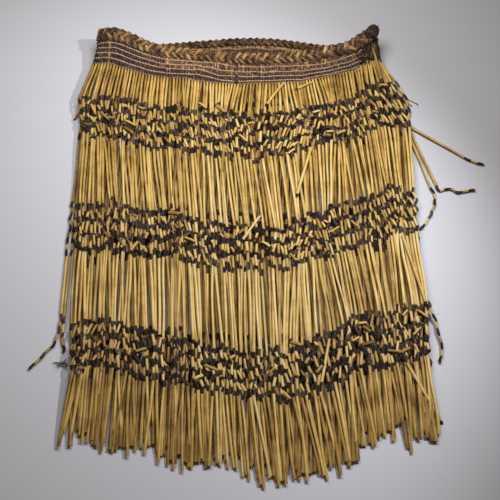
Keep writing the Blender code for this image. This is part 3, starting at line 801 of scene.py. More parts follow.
plait_bundle = Bundle("plait", braid)
for ply in range(3):
    phase = 2 * math.pi * (along / (3 * PLAIT_LOBE) + ply / 3)
    size = 1 + wander(along, 0.07, 60.0, 100 + ply)
    # A little of the third wave makes a ply run nearly straight from edge to edge.
    swing = PLY_SWING * (np.sin(phase) - 0.06 * np.sin(3 * phase)) * size * wider
    over = -PLY_OVER * np.sin(2 * phase)
    buried = np.clip(-0.3 - over / PLY_OVER, 0, 1)  # painted shade where a ply goes under the next
    own_tone = PLY_TONE - PLY_TONE_STEP * ply + wander(along, 0.26, 26.0, 130 + ply)
    for strip in range(STRIPS):
        number = 10 * ply + strip
        round_it = 2 * math.pi * (strip / STRIPS + along / STRIP_TWIST) + chance.uniform(-0.25, 0.25)
        a = swing + PLY_WIDE * wider * np.cos(round_it) * (1 + wander(along, 0.12, 17.0, 200 + number))
        a = np.clip(a, -PLAIT_HALF * wider, PLAIT_HALF * wider)
        b = over + PLY_THICK * np.sin(round_it) * (1 + wander(along, 0.12, 19.0, 300 + number))
        line = middle + across * a[:, None] + outward * b[:, None]
        line[:, 2] = np.maximum(line[:, 2], STRIP_RADIUS + 0.1)
        tone = own_tone + chance.uniform(-0.3, 0.3) + wander(along, 0.16, 40.0, 400 + number)
        # painted shade on the strips along a ply's edges, where they turn away
        edge = np.clip(np.abs(np.cos(round_it)) * 2.0 - 1.35, 0, 0.5)
        width = STRIP_RADIUS * chance.uniform(0.8, 1.15)
        radius = width * wider * (1 + wander(along, 0.1, 12.0, 500 + strip))
        rings = sweep(line, round_section(4), radius, math.pi / 4)
        ply_shade = np.clip(PLAIT_SHADE_GAIN * np.maximum(edge, buried), 0, PLAIT_SHADE_MOST)
        plait_bundle.tube(rings, tone=np.clip(tone, 0, 1), dark=ply_shade)
core = sweep(middle, round_section(8), CORE_HALF * wider, up=outward, flat=CORE_FLAT)
# the core's dark tone and dark mask are painted shade
plait_bundle.tube(core, tone=0.1, dark=0.7)
plait = plait_bundle.tie(60.0)

# %% [markdown]
# ## The end knot
#
# At the right corner the plait ends in a blunt stump. Its fibres run lengthways over a rounded core, and
# a few turns of black thread grip them where the stump leaves the plait.

# %% Knot
KNOT_MIDDLE = np.array((198.0, 29.0, 38.0))
KNOT_AXIS = unit(np.array((0.50, 0.84, 0.20)))
KNOT_HALF, KNOT_RADIUS = 12.5, 9.0
KNOT_SIDES, KNOT_RINGS, LOCK_RINGS = 20, 15, 13
KNOT_LOCKS = 46
LOCK_LEAN = 0.5  # a lock winds this far round the stump, to each side of its middle
KNOT_TURNS = 5
KNOT_THREAD = 0.95
KNOT_ENDS = 20

knot_bundle = Bundle("bound_knot", black, braid)
knot_side = unit(np.cross(KNOT_AXIS, UP))
knot_up = np.cross(knot_side, KNOT_AXIS)


def knot_point(along_axis, angle, radius):
    ring = np.cos(angle)[:, None] * knot_side + np.sin(angle)[:, None] * knot_up
    return KNOT_MIDDLE + np.multiply.outer(along_axis, KNOT_AXIS) + ring * np.asarray(radius)[..., None]


def knot_radius(along_axis):
    """The stump is rounded at both ends, and slightly narrower towards its tip."""
    share = np.asarray(along_axis) / KNOT_HALF
    return KNOT_RADIUS * (0.96 - 0.1 * share) * np.sqrt(np.clip(1 - np.abs(share / 1.03) ** 3, 0.02, 1.0))


angles = 2 * math.pi * np.arange(KNOT_SIDES) / KNOT_SIDES
levels = [np.full(KNOT_SIDES, level) for level in np.linspace(-KNOT_HALF, KNOT_HALF, KNOT_RINGS)]
knot_bundle.tube(np.stack([knot_point(level, angles, knot_radius(level)) for level in levels]), tone=0.4)
level = np.linspace(-KNOT_HALF, KNOT_HALF, LOCK_RINGS)
for lock in range(KNOT_LOCKS):
    winding = np.linspace(-LOCK_LEAN, LOCK_LEAN, LOCK_RINGS)
    angle = 2 * math.pi * lock / KNOT_LOCKS + winding + wander(level, 0.12, 20.0, 700 + lock)
    line = knot_point(level, angle, knot_radius(level) + chance.uniform(0.0, 0.8))
    radius = KNOT_THREAD * chance.uniform(0.7, 1.25)
    tone = np.clip(chance.normal(0.1, 0.08), 0, 1)
    knot_bundle.tube(sweep(line, round_section(5), radius), look=1, tone=tone)
turn_angle = np.linspace(0, 2 * math.pi, 29)
for turn in range(KNOT_TURNS):
    place = -KNOT_HALF * (0.8 - 0.12 * turn)
    lean, start = chance.normal(0, 1.0), chance.uniform(0, 2 * math.pi)
    level = place + lean * np.cos(turn_angle + start)
    line = knot_point(level, turn_angle, knot_radius(level) + 1.2 + wander(turn_angle, 0.25, 3.0, 600 + turn))
    knot_bundle.tube(sweep(line, round_section(6), KNOT_THREAD), tone=chance.uniform(0.2, 0.9))
for end in range(KNOT_ENDS):
    angle, reach = chance.uniform(0, 2 * math.pi), chance.uniform(0.1, 0.75)
    rise = np.linspace(KNOT_HALF * 0.6, KNOT_HALF + chance.uniform(0.3, 1.6), 5)
    spread = KNOT_RADIUS * reach * (1 + 0.04 * (rise - rise[0]))
    rings = sweep(knot_point(rise, np.full(5, angle), spread), round_section(4), np.linspace(0.9, 0.45, 5))
    knot_bundle.tube(rings, look=1, tone=chance.uniform(0.05, 0.5))

# %% [markdown]
# Black fibre hangs from the stump over the turned end of the band and hides its weave. The wefts of the
# front end just before it, in small loops, and a few more locks close the gap between the two ends.

# %% Loose fibre at the right corner
HANK_LOCKS = 56
# A lock touches the band at these shares of its depth, the last of them lower by chance, this far out.
HANK_DEPTHS, HANK_LOWER = np.array((0.9, 0.5, 0.24)), 0.4
HANK_OUT = np.array((2.6, 2.2, 1.6))
GAP_LOCKS = 26
GAP_ROUTE = np.array(((188.0, 24.0, 33.0), (187.0, 6.0, 31.0), (186.0, -13.0, 25.0)))
CURLS = 26
CURLS_LEFT, CURLS_RIGHT, CURLS_HALF = 172.0, 193.0, 14.0  # the curls lie between these, over the wefts' ends
CURLS_HEIGHT, CURLS_SLOPE = 31.5, (0.12, 0.3)


def loose_lock(line, radius, undyed, palest):
    """A lock of the knot's fibre. undyed is the chance that it never was in the mud bath."""
    look = int(chance.uniform() < undyed)
    knot_bundle.tube(sweep(line, round_section(5), radius), look=look, tone=chance.uniform(0.05, palest))


turned_from = LENGTH[-1 - CORNER_STEPS * STATION_STEPS // 2]
for lock in range(HANK_LOCKS):
    length = chance.uniform(turned_from, LENGTH[-1])
    top = KNOT_MIDDLE - KNOT_AXIS * KNOT_HALF * chance.uniform(0.2, 0.9) + chance.normal(0, 2.4, 3)
    places = np.full(3, length) + chance.normal(0, 1.0, 3)
    depths_here = HANK_DEPTHS - (0.0, 0.0, HANK_LOWER * chance.uniform() ** 2)
    line = curve_through([top, *band_surface(places, depths_here, HANK_OUT)], 4)
    loose_lock(line, np.linspace(1.15, 0.8, len(line)) * chance.uniform(0.7, 1.2), 0.25, 0.7)
for lock in range(GAP_LOCKS):
    aside, lower = chance.uniform(-4.0, 8.0), chance.normal(0, 5)
    points = GAP_ROUTE + np.array(((0.6 * aside, 0.0, 0.0), (aside, 0.0, 0.0), (aside, lower, 0.0)))
    line = curve_through(points + chance.normal(0, 1.2, (3, 3)), 5)
    loose_lock(line, chance.uniform(0.7, 1.2), 0.3, 0.6)
for curl in range(CURLS):
    x, y = chance.uniform(CURLS_LEFT, CURLS_RIGHT), chance.uniform(-CURLS_HALF, CURLS_HALF)
    at = np.array((x, y, CURLS_HEIGHT + CURLS_SLOPE[1] * y + CURLS_SLOPE[0] * (x - CURLS_LEFT)))
    turn = chance.uniform(0, 6.3) + np.linspace(0, chance.uniform(2.5, 5.0), 9)
    size, drift = chance.uniform(1.6, 3.4), chance.normal(0, 1.6, 3) * (1, 1, 0.4)
    ring = np.stack([size * np.cos(turn), size * np.sin(turn), 0.8 * np.sin(2 * turn)], axis=-1)
    line = at + ring + np.linspace(0, 1, 9)[:, None] * drift
    look = int(chance.uniform() < 0.6)
    rings = sweep(line, round_section(5), chance.uniform(0.75, 1.05))
    knot_bundle.tube(rings, look=look, tone=chance.uniform(0.3, 0.9))
knot = knot_bundle.tie(50.0)

# %% [markdown]
# ## How the strands lie
#
# A strand is stiff where it is a tube and limp where it is bare fibre, so it changes direction only in
# its dark bands. Two tables say how far across the strands lie at each distance down from the band.
# Between the two edges of the skirt they spread evenly, and then lean by the second table. More tables
# give the levels of the dark bands, the lean of the short tubes in them, and the length of the strands.

# %% Where the strands go
FRONT_GROUPS, FRONT_STRANDS = 4, 22
BACK_GROUPS, BACK_STRANDS = 4, 23
CORNER_STRANDS = 2
END_STRANDS = 8
#    down, front left, front right, end left, end right, back left, back right
SPREAD = np.array((
    (0.0, -214.0, 178.0, 184.0, 209.0, -214.0, 209.0),
    (50.0, -229.0, 182.0, 187.0, 230.5, -227.0, 230.0),
    (95.0, -227.5, 193.0, 196.0, 244.5, -225.5, 242.0),
    (130.0, -226.0, 201.0, 203.0, 249.5, -224.0, 246.5),
    (234.0, -226.0, 203.0, 205.0, 245.0, -222.0, 243.0),
    (315.0, -219.0, 204.0, 206.0, 243.0, -216.0, 241.0),
    (412.0, -211.0, 209.0, 211.0, 247.0, -207.0, 245.0),
    (491.0, -206.0, 201.0, 203.0, 238.0, -202.0, 236.0),
    (586.0, -208.0, 207.0, 210.0, 244.0, -204.0, 240.0),
))
LEAN_AT = (0.0, 0.1, 0.25, 0.5, 0.7, 0.84, 0.92, 1.0)  # share of the way from left to right
# How far to the right of its even place a strand lies: one row for each row of SPREAD.
LEAN = np.array((
    (0.0, 0.0, 0.0, 0.0, 0.0, 0.0, 0.0, 0.0),
    (0.0, 0.0, 0.0, -11.0, -3.0, 0.0, 0.0, 0.0),
    (0.0, -3.4, -3.4, -9.9, -4.7, 2.3, -1.7, 0.0),
    (0.0, -6.0, -6.0, -9.0, -6.0, 4.0, -3.0, 0.0),
    (0.0, 7.0, 5.0, 1.0, 4.0, -6.0, 2.0, 0.0),
    (0.0, 2.0, -2.0, -2.0, 3.0, -5.0, -3.0, 0.0),
    (0.0, -3.0, -1.0, -1.0, -5.0, 6.0, 5.0, 0.0),
    (0.0, 2.0, 2.0, -4.0, -8.0, 0.0, -2.0, 0.0),
    (-6.0, 0.0, 1.0, 0.0, 5.0, 8.0, 6.0, 0.0),
))
# How far to the right a front strand goes from its root to the first dark band.
FIRST_AT = (
    0.0, 0.02, 0.045, 0.08, 0.12, 0.2, 0.35, 0.41, 0.455,
    0.49, 0.54, 0.62, 0.68, 0.75, 0.79, 0.85, 0.9, 1.0,
)
FIRST_LEAN = (
    -15.0, -13.2, -11.3, -8.8, -6.2, -3.2, 0.0, -2.0, 2.0,
    -1.0, -9.0, -4.0, 0.0, 9.0, 5.0, 10.0, 4.0, 3.0,
)
# Where the three dark bands begin and end, as distances down, at these shares of the way across. The
# turned end of the band carries the strands past share 1.
BANDS_AT = (0.0, 0.05, 0.12, 0.25, 0.5, 0.65, 0.77, 0.88, 1.0, 1.1)
BANDS = np.array((
    (70.0, 61.0, 54.0, 55.0, 58.0, 59.0, 56.0, 52.0, 46.0, 38.0),
    (132.0, 129.0, 128.0, 131.0, 134.0, 138.0, 128.0, 117.0, 115.0, 119.0),
    (248.0, 245.0, 234.0, 233.0, 250.0, 256.0, 236.0, 220.0, 219.0, 229.0),
    (318.0, 322.0, 309.0, 306.0, 319.0, 317.0, 307.0, 298.0, 294.0, 294.0),
    (427.0, 422.0, 411.0, 415.0, 434.0, 439.0, 407.0, 394.0, 402.0, 408.0),
    (490.0, 486.0, 477.0, 482.0, 492.0, 500.0, 488.0, 469.0, 478.0, 478.0),
))
# How far each short tube of a band leans to the right on its way down. Its neighbours lean alike.
TILT_AT = (0.0, 0.1, 0.2, 0.35, 0.45, 0.52, 0.64, 0.71, 0.78, 0.86, 0.93, 1.0, 1.1)
TILTS = (
    (2.0, 3.0, 2.5, 3.0, 2.0, 0.5, -3.0, -6.0, -5.5, -2.0, 0.0, 1.0, 3.0),
    (0.0, 0.0, 1.5, 3.0, 1.0, -1.0, -1.0, -5.0, 3.5, 1.0, 0.5, 3.0, 3.5),
    (-2.5, -2.0, 0.0, 0.5, 2.5, 1.5, 3.0, 4.0, 3.5, -1.5, 2.0, 1.5, 0.5),
)
TUFTS = 30  # strands hang together in this many tufts
TUFT_LEVEL = 2.3  # a tuft as a whole sits this much higher or lower than the next
TUFT_PULL = 0.16
SKIRT_WIDTH = 425.0
LENGTH_AT = (
    0.0, 0.03, 0.055, 0.08, 0.19, 0.226, 0.27, 0.33, 0.44,
    0.5, 0.58, 0.65, 0.78, 0.81, 0.88, 0.91, 0.95, 1.0,
)
LENGTHS = (588, 563, 570, 578, 572, 559, 578, 582, 571, 577, 596, 590, 587, 567, 558, 549, 563, 578)
END_LENGTH = 573.0
HEM_UNEVEN, HEM_LOWER = 8.0, 7.0
BACK_SHORTER = 7.0
BACK_LEAN = -0.6
BACK_SHIFT = 9.0  # the dark bands of the back layer lie this much lower, so they close the gaps
BACK_LEVEL, FRONT_LEVEL = 2.2, 5.4
SETTLE = 190.0
TUBE_RADIUS = 2.12
BACK_RADIUS = 2.8


def front_root_y(x):
    """How high on the floor plan the front of the band has its lower edge."""
    xs, ys = zip(*[row[:2] for row in reversed(FRONT_RUN)])
    return np.interp(x, xs, ys)


def place_across(layer, share, down):
    """How far across a strand lies, this far down from the band."""
    left, right = {"front": (1, 2), "end": (3, 4), "back": (5, 6)}[layer]
    low, high = (np.interp(down, SPREAD[:, 0], SPREAD[:, column]) for column in (left, right))
    lean = [np.interp(share, LEAN_AT, row) for row in LEAN]
    weight = {"front": 1.0, "end": 0.0, "back": BACK_LEAN}[layer]
    return low + (high - low) * share + weight * np.interp(down, SPREAD[:, 0], lean)


print("a front strand in the middle ends at x", round(place_across("front", 0.5, LENGTHS[9])))

# %% [markdown]
# Each strand becomes a chain of *links*: long tubes, short tubes and bare black fibre between them. A
# dark band holds four stretches of fibre and three short tubes. The joints stray a little to each side,
# and now and then a short tube has swung right round, as loose ones do.

# %% A strand as a chain of links
SHORT_SHARES = np.array((0.0, 0.12, 0.295, 0.405, 0.595, 0.705, 0.88, 1.0))
LINKS = ("black", "short", "black", "short", "black", "short", "black")
SHARES_UNEVEN = 0.036
SWAY = 1.0  # how far a joint strays to the side
SWING_CHANCE = 0.05
SWING_LEAST, SWING_MOST = 0.5, 1.3
LONG_CHANCE = 0.02  # a band that is one long tube, because its fibre was never scraped bare
LONG_SHARES = np.array((0.0, 0.12, 0.86, 1.0))
BAND_UNEVEN, EDGE_UNEVEN = 2.3, 1.5  # how far one strand's dark band, and each edge of it, is off its place
STRAY = np.array((1.2, 1.6, 1.9, 1.9, 2.3, 2.3, 3.6))  # how far each of its turns is off its place
BACK_STRAY = 0.3
END_ROOT_Y = -12.0  # about where the strands of the turned end have their roots
# How much lower each tuft has its three dark bands than the table says.
tuft_levels = chance.normal(0, TUFT_LEVEL, (TUFTS + 4, 3))


def band_joints(start, end, sway, tilt):
    """The joints of one dark band between its ends, how far each strays upwards, and the links' kinds."""
    way = end - start
    if chance.uniform() < LONG_CHANCE:
        return start + way * LONG_SHARES[:, None], np.array((0.0, 1.0, 1.0, 0.0)), LINKS[:3]
    shares = SHORT_SHARES + np.r_[0.0, chance.normal(0, SHARES_UNEVEN, 6), 0.0]
    side = np.array((-way[1], way[0])) / max(np.linalg.norm(way), 1.0)
    joints = start + way * shares[:, None]
    lean = tilt + chance.normal(0, 2 * sway, 3)
    joints[1:-1:2] -= side * lean[:, None] / 2
    joints[2:-1:2] += side * lean[:, None] / 2
    joints[1:-1] += side * chance.normal(0, sway / 2, 6)[:, None]
    lift = np.zeros(8)
    for one in (1, 3, 5):
        if chance.uniform() < SWING_CHANCE:
            middle = (joints[one] + joints[one + 1]) / 2
            half = (joints[one + 1] - joints[one]) / 2
            angle = chance.uniform(SWING_LEAST, SWING_MOST) * chance.choice((-1, 1))
            cos, sin = math.cos(angle), math.sin(angle)
            half = np.array((cos * half[0] - sin * half[1], sin * half[0] + cos * half[1]))
            joints[one], joints[one + 1] = middle - half, middle + half
            lift[one] = lift[one + 1] = TUBE_RADIUS * 1.5
    return joints, lift, LINKS


def strand_turns(layer, share, root, extra):
    """Where a strand changes direction: at both edges of its dark bands, and its end. Gives the share
    across, how far down each place is, and how far across it is."""
    across = 1.0 + 0.1 * share if layer == "end" else share
    levels = np.array([np.interp(across, BANDS_AT, row) for row in BANDS])
    levels += BACK_SHIFT if layer == "back" else 0.0
    tuft = int(across * TUFTS)
    off_place = np.repeat(tuft_levels[tuft] + chance.normal(0, BAND_UNEVEN, 3), 2)
    levels += off_place + chance.normal(0, EDGE_UNEVEN, 6)
    length = END_LENGTH if layer == "end" else np.interp(share, LENGTH_AT, LENGTHS)
    length += HEM_LOWER - abs(chance.normal(0, HEM_UNEVEN))
    if layer == "back":  # its roots lie higher up, and its ends reach as far
        length += root[1] - front_root_y(root[0]) - BACK_SHORTER
    if layer == "front":
        levels, length = levels - sag_at(root[0]), length - sag_at(root[0])
    if extra:  # its root is out of line with the others, but its bands aren't
        levels, length = levels + root[1] - END_ROOT_Y, length + root[1] - END_ROOT_Y
    downs = np.concatenate([levels, [length]])
    xs = np.array([place_across(layer, share, down) for down in downs])
    if layer == "front":
        xs[0] = root[0] + np.interp(share, FIRST_AT, FIRST_LEAN)
    xs += chance.normal(0, 1, 7) * (STRAY * (BACK_STRAY if layer == "back" else 1.0))
    if layer != "back":
        xs[1:] += ((tuft + 0.5) / TUFTS - across) * SKIRT_WIDTH * TUFT_PULL
    return across, downs, xs


def strand_plan(layer, share, root, extra):
    """The joints of a strand on the floor plan, the kind of each link, and each joint's lift."""
    across, downs, xs = strand_turns(layer, share, root, extra)
    points, gone = [np.array(root[:2])], 0.0
    for down, x in zip(downs, xs):
        flat = x - points[-1][0]
        points.append(np.array((x, points[-1][1] - math.sqrt(max((down - gone) ** 2 - flat**2, 1.0)))))
        gone = down
    joints, kinds, lifts = [points[0]], ["tube"], [0.0]
    for k in (1, 3, 5):
        tilt = np.interp(across, TILT_AT, TILTS[k // 2])
        inner, lift, links = band_joints(points[k], points[k + 1], SWAY, tilt)
        joints += list(inner)
        lifts += list(lift)
        kinds += [*links, "tube"]
    return np.array(joints + points[-1:]), kinds, np.array(lifts + [0.0])


# %% [markdown]
# ## The pile
#
# Laid down one by one, each strand rests on the floor or on whatever it crosses. The pile keeps, for
# lines across the skirt, where each strand lies and how high. A new strand takes its height from its
# neighbours there, as one log does on another, and is then smoothed, because a tube can't bend sharply.

# %% The pile of strands
PILE_STEP = 6.0
PILE_ROWS = np.arange(-10.0, -660.0, -PILE_STEP)
PILE_SOFT = 0.82  # tubes press into each other a little
PILE_TOP = 13.0
SMOOTH_OVER = np.array((1, 3, 5, 6, 5, 3, 1)) / 24
NOWHERE = 1e6


class Pile:
    """Every strand that is laid down: on each row, where it lies across and how high, and its radius."""

    def __init__(self):
        self.across, self.high, self.radius = [], [], []

    def lay(self, joints, radius, base):
        """Lays a strand down. base is the least height along the rows; gives the height at each row."""
        order = np.argsort(-joints[:, 1])
        xs = np.interp(-PILE_ROWS, -joints[order, 1], joints[order, 0])
        height = np.array(base, float)
        on_it = (PILE_ROWS <= joints[:, 1].max() + 2) & (PILE_ROWS >= joints[:, 1].min() - 2)
        for x, z, other in zip(self.across, self.high, self.radius):
            reach = radius + other
            apart = np.abs(x - xs)
            over = z + PILE_SOFT * np.sqrt(np.clip(reach**2 - apart**2, 0, None))
            height = np.where((apart < reach) & on_it, np.maximum(height, over), height)
        wide = np.pad(height, 2, mode="edge")
        highest = np.max([wide[k : k + len(height)] for k in range(5)], axis=0)
        wide = np.pad(highest, 3, mode="edge")
        height = sum(w * wide[k : k + len(height)] for k, w in enumerate(SMOOTH_OVER))
        height = np.minimum(height, np.maximum(base, PILE_TOP))
        self.across.append(np.where(on_it, xs, NOWHERE))
        self.high.append(height)
        self.radius.append(radius)
        return height

    def top(self, x, y):
        """How high the pile is at a place."""
        row = int(np.argmin(np.abs(PILE_ROWS - y)))
        laid = zip(self.across, self.high, self.radius)
        there = (high[row] + wide for across, high, wide in laid if abs(across[row] - x) < wide + 1)
        return max(there, default=0.0)


pile = Pile()


def base_height(root, level):
    """The least height of a strand along the rows: it comes down from its root and settles at level."""
    down = root[1] - PILE_ROWS
    return np.maximum(level + (root[2] - level) * (1 - smooth_step(down / SETTLE)), level)


print(len(PILE_ROWS), "rows across the skirt")

# %% [markdown]
# ## The links
#
# A tube is the dried leaf itself: a rolled section, so its outer edge shows as a seam that winds slowly
# round it. Its ends are open, so the wall turns inwards, and the hollow is painted dark as shade. A stretch
# of fibre is five thin twisted locks, and a few hairs that have worked loose stand out of it.

# %% Tubes and fibre
TUBE_SIDES, SHORT_SIDES = 10, 8
LONG_STEP = 16.0
FADE = (-0.14, 0.02, 0.2, -0.04)  # how much paler each long tube of a strand is, from the waist down
PALE_AT, PALE = (0.0, 0.1, 0.3, 0.5, 0.8, 1.0), (-0.10, -0.06, 0.0, 0.0, 0.08, 0.0)
TOAST, TOAST_MOST = 0.2, 0.36  # the leaf is darker at its cut ends
PINCH = 0.55  # and pressed flatter there
HOLLOW, HOLLOW_DEEP = 0.45, 1.1  # a tube's hollow, and how deep it is drawn, as shares of its radius
# painted shade on the inner wall of an open end, and deep in its hollow
WALL_SHADE, HOLLOW_SHADE = 0.12, 0.4
UNDER_SHADE, UNDER_FROM = 1.3, 0.76  # painted shade: a tube's underside and flanks are darkened, down in the gaps
HIDDEN_SHADE = 0.3  # painted shade on the back layer, which lies under the front
SEAM_SHADE = 0.42  # painted shade in the crease along the lap
ROOT_NECK = (0.74, 0.92, 1.02)  # a strand is thinner where the wefts grip it, and soon swells
NECK_ENDS = (3.0, 9.0)
TUBE_BOW = (0.006, 0.003)  # one bow and one double bow, as shares of a long tube's length
SHORT_LEAST, SHORT_MOST = 0.84, 1.03
LOCKS, BACK_LOCKS = 5, 3  # the back layer is mostly out of sight, so it gets fewer, thicker locks
LOCK_RADIUS = 0.76
LOCK_POINTS = 5
FIBRE_WIDE, BACK_FIBRE_WIDE = 0.62, 0.8  # of the tube's radius
TUCK = 0.9  # fibre comes from this far inside a tube
HAIR_CHANCE = 0.45
LEAF, BLACK = 0, 1


def rolled_tube(bundle, line, radius, tone, sides=TUBE_SIDES, open_start=True, hidden=False):
    """A rolled leaf along a line. An open end shows a wall and a hollow, both with painted shade."""
    count = len(line)
    turn = chance.uniform(0, 2 * math.pi) + np.linspace(0, chance.normal(0, 0.5), count)
    radii = radius * (1 + 0.035 * np.sin(np.linspace(0, chance.uniform(3, 9), count) + chance.uniform(0, 6)))
    if not open_start:
        radii[: len(ROOT_NECK)] *= ROOT_NECK
    line = line.copy()
    line[:, 2] = np.maximum(line[:, 2], radii + ON_FLOOR)
    rings = sweep(line, rolled_section(sides), radii, turn)
    rise = (rings[:, :, 2] - rings[:, :, 2].mean(axis=1, keepdims=True)) / radius
    # painted shade: darker towards a tube's underside and flanks, and all over a hidden back tube
    dark = np.clip(UNDER_SHADE * (UNDER_FROM - rise) + HIDDEN_SHADE * hidden, 0.0, 0.9)
    # painted shade along the seam of the lap
    dark[:, 0] = np.maximum(dark[:, 0], SEAM_SHADE)
    parts, shades = [rings], [dark]
    for at, inwards in ((0, 1), (-1, -1)) if open_start else ((-1, -1),):
        dark[at] = np.clip(dark[at], TOAST, TOAST_MOST)
        rings[at, :, 2] += PINCH * (rings[at, :, 2].mean() - rings[at, :, 2])
        middle = rings[at].mean(axis=0)
        lip = middle + (rings[at] - middle) * HOLLOW
        step = line[at + inwards] - line[at]
        deep = lip + step / max(np.linalg.norm(step), 1e-6) * radius * HOLLOW_DEEP
        order = -1 if at == 0 else 1  # at its start, the hollow's rings come before the tube's own
        place = 0 if at == 0 else len(parts)
        parts.insert(place, np.array([lip, deep])[::order])
        # painted shade on the hollow's wall and inside it
        shades.insert(place, np.repeat([[WALL_SHADE], [HOLLOW_SHADE]], sides, axis=1)[::order])
    bundle.tube(np.concatenate(parts), LEAF, tone, np.concatenate(shades))


def loose_hair(bundle, line):
    """A hair that has worked loose from a stretch of fibre."""
    root = line[chance.integers(1, 4)]
    way = unit(chance.normal(0, 1, 3) * np.array((1, 1, 0.5)) + np.array((0, -0.6, 0.25)))
    curl = chance.normal(0, 1.5, 3)
    far = np.linspace(0, 1, 4)[:, None]
    hair = root + way * far * chance.uniform(4, 10) + curl * far**2
    hair[:, 2] = np.maximum(hair[:, 2], 0.3)
    bundle.tube(sweep(hair, round_section(3), np.linspace(0.2, 0.1, 4)), BLACK, 0.9)


def fibre_lock(bundle, start, end, out_of, into, width, locks=LOCKS):
    """Bare fibre between two tubes: it leaves along out_of and comes in along into."""
    gap = np.linalg.norm(end - start)
    shares = np.linspace(0, 1, LOCK_POINTS)[:, None]
    bulge = chance.normal(0, 0.10, 3) * gap * np.array((1, 1, 0.5))
    handle = gap * 0.35
    a, b, c, d = start, start + out_of * handle + bulge, end - into * handle + bulge, end
    line = a * (1 - shares) ** 3 + 3 * b * shares * (1 - shares) ** 2
    line = line + 3 * c * shares**2 * (1 - shares) + d * shares**3
    side, high = ring_frames(line)
    twist = chance.uniform(0, 2 * math.pi)
    fat = np.sin(np.pi * np.linspace(0.12, 0.88, LOCK_POINTS))[:, None]
    swell = width * (0.5 + 0.45 * fat)
    for lock in range(locks):
        winding = np.linspace(0, chance.uniform(0.8, 2.2), LOCK_POINTS)[:, None]
        angle = twist + 2 * math.pi * lock / locks + winding
        strand = line + side * np.cos(angle) * swell + high * np.sin(angle) * swell * 0.7
        radius = LOCK_RADIUS * width / 1.25 * (0.75 + 0.4 * fat[:, 0]) * (LOCKS / locks) ** 0.6
        strand[:, 2] = np.maximum(strand[:, 2], radius + ON_FLOOR)
        bundle.tube(sweep(strand, round_section(4), radius), BLACK, chance.uniform(0.0, 1.0) ** 1.4)
    if chance.uniform() < HAIR_CHANCE:
        loose_hair(bundle, line)


def tube_line(start, end, long, from_band):
    """The line of one tube. A long one bows a little, and one from the band has a neck."""
    length = np.linalg.norm(end - start)
    count = max(3, int(length / LONG_STEP) + 2) if long else 3
    shares = np.linspace(0, 1, count)[:, None]
    if from_band:
        shares = np.insert(shares, 1, np.array(NECK_ENDS)[:, None] / length, axis=0)
    line = start + (end - start) * shares
    if long:
        side = ring_frames(line)[0]
        once, twice = (chance.normal(0, bow * length) for bow in TUBE_BOW)
        line = line + side * (np.sin(np.pi * shares) * once + np.sin(2 * np.pi * shares) * twice)
    return line


def strand(bundle, joints, kinds, radius, tone, hidden=False):
    """Builds every link of a strand along its joints."""
    ways = unit(np.diff(joints, axis=0))
    tubes, last = 0, len(kinds) - 1
    for i, kind in enumerate(kinds):
        start, end = joints[i], joints[i + 1]
        if kind == "black":
            before, after = ways[max(i - 1, 0)], ways[min(i + 1, last)]
            start, end = start - before * TUCK, end + after * (TUCK if i < last else 0.0)
            width = radius * (BACK_FIBRE_WIDE if hidden else FIBRE_WIDE)
            fibre_lock(bundle, start, end, before, after, width, BACK_LOCKS if hidden else LOCKS)
            continue
        line = tube_line(start, end, kind == "tube", i == 0)
        if kind == "short":
            # painted light: a short tube is on average a little paler, since many tilt towards the lamp;
            # beyond that it varies by chance
            own, paler = radius * chance.uniform(SHORT_LEAST, SHORT_MOST), chance.normal(0.03, 0.15)
        else:
            own, paler = radius, chance.normal(FADE[min(tubes, 3)], 0.07)
            tubes += 1
        sides = (SHORT_SIDES if kind == "short" else TUBE_SIDES) - (2 if hidden else 0)
        rolled_tube(bundle, line, own, np.clip(tone + paler, 0, 1), sides, open_start=i > 0, hidden=hidden)


print("links: tubes of", TUBE_SIDES, "and", SHORT_SIDES, "sides, and fibre of", LOCKS, "locks")

# %% [markdown]
# ## The fringe
#
# The back layer is laid first and the front layer over it. Strands go down in a shuffled order, so that
# which one lies on top changes across the skirt. Each group of strands hangs from its own stretch of
# the band, and becomes one piece.

# %% Where each strand hangs
STRAY_ARC = 11.0  # this much of the loop, at the middle of each corner, is left for the stray strands
CORNER_PULL, CORNER_SHARE = 11.0, 0.1  # a back strand in the outer tenth is pulled out sideways by up to this
LEFT_PULL = 0.35  # and at the left by this share of it
# Three more strands of the turned end, for the looks only: the share across, and the root of each.
EXTRA_STRANDS = ((-0.08, (180.5, -20.5, 22.0)), (0.0, (184.0, -18.0, 23.5)), (0.42, (198.5, 2.0, 34.0)))
corner_stations = CORNER_STEPS * STATION_STEPS
front_stations = (len(FRONT_RUN) - 1) * STATION_STEPS
flat_left, left_mid = LENGTH[front_stations + corner_stations], LENGTH[front_stations + corner_stations // 2]
flat_right, right_mid = LENGTH[-1 - corner_stations], LENGTH[-1 - corner_stations // 2]
half_arc = STRAY_ARC / 2


def middles(start, end, count):
    """The middles of equal stretches between two lengths along the loop."""
    edges = np.linspace(start, end, count + 1)
    return (edges[:-1] + edges[1:]) / 2


def root_point(length):
    """Where a strand leaves the band: at its lower edge."""
    return band_surface(np.array([length]), -0.005)[0]


def strand_jobs(layer, lengths, names):
    """What to lay for one layer: for each strand the share across, its root, whether it is an extra one,
    and the name of its piece."""
    shares = (np.arange(len(lengths)) + 0.5) / len(lengths)
    roots = [root_point(length) for length in lengths]
    return [[layer, share, root, False, name] for share, root, name in zip(shares, roots, names)]


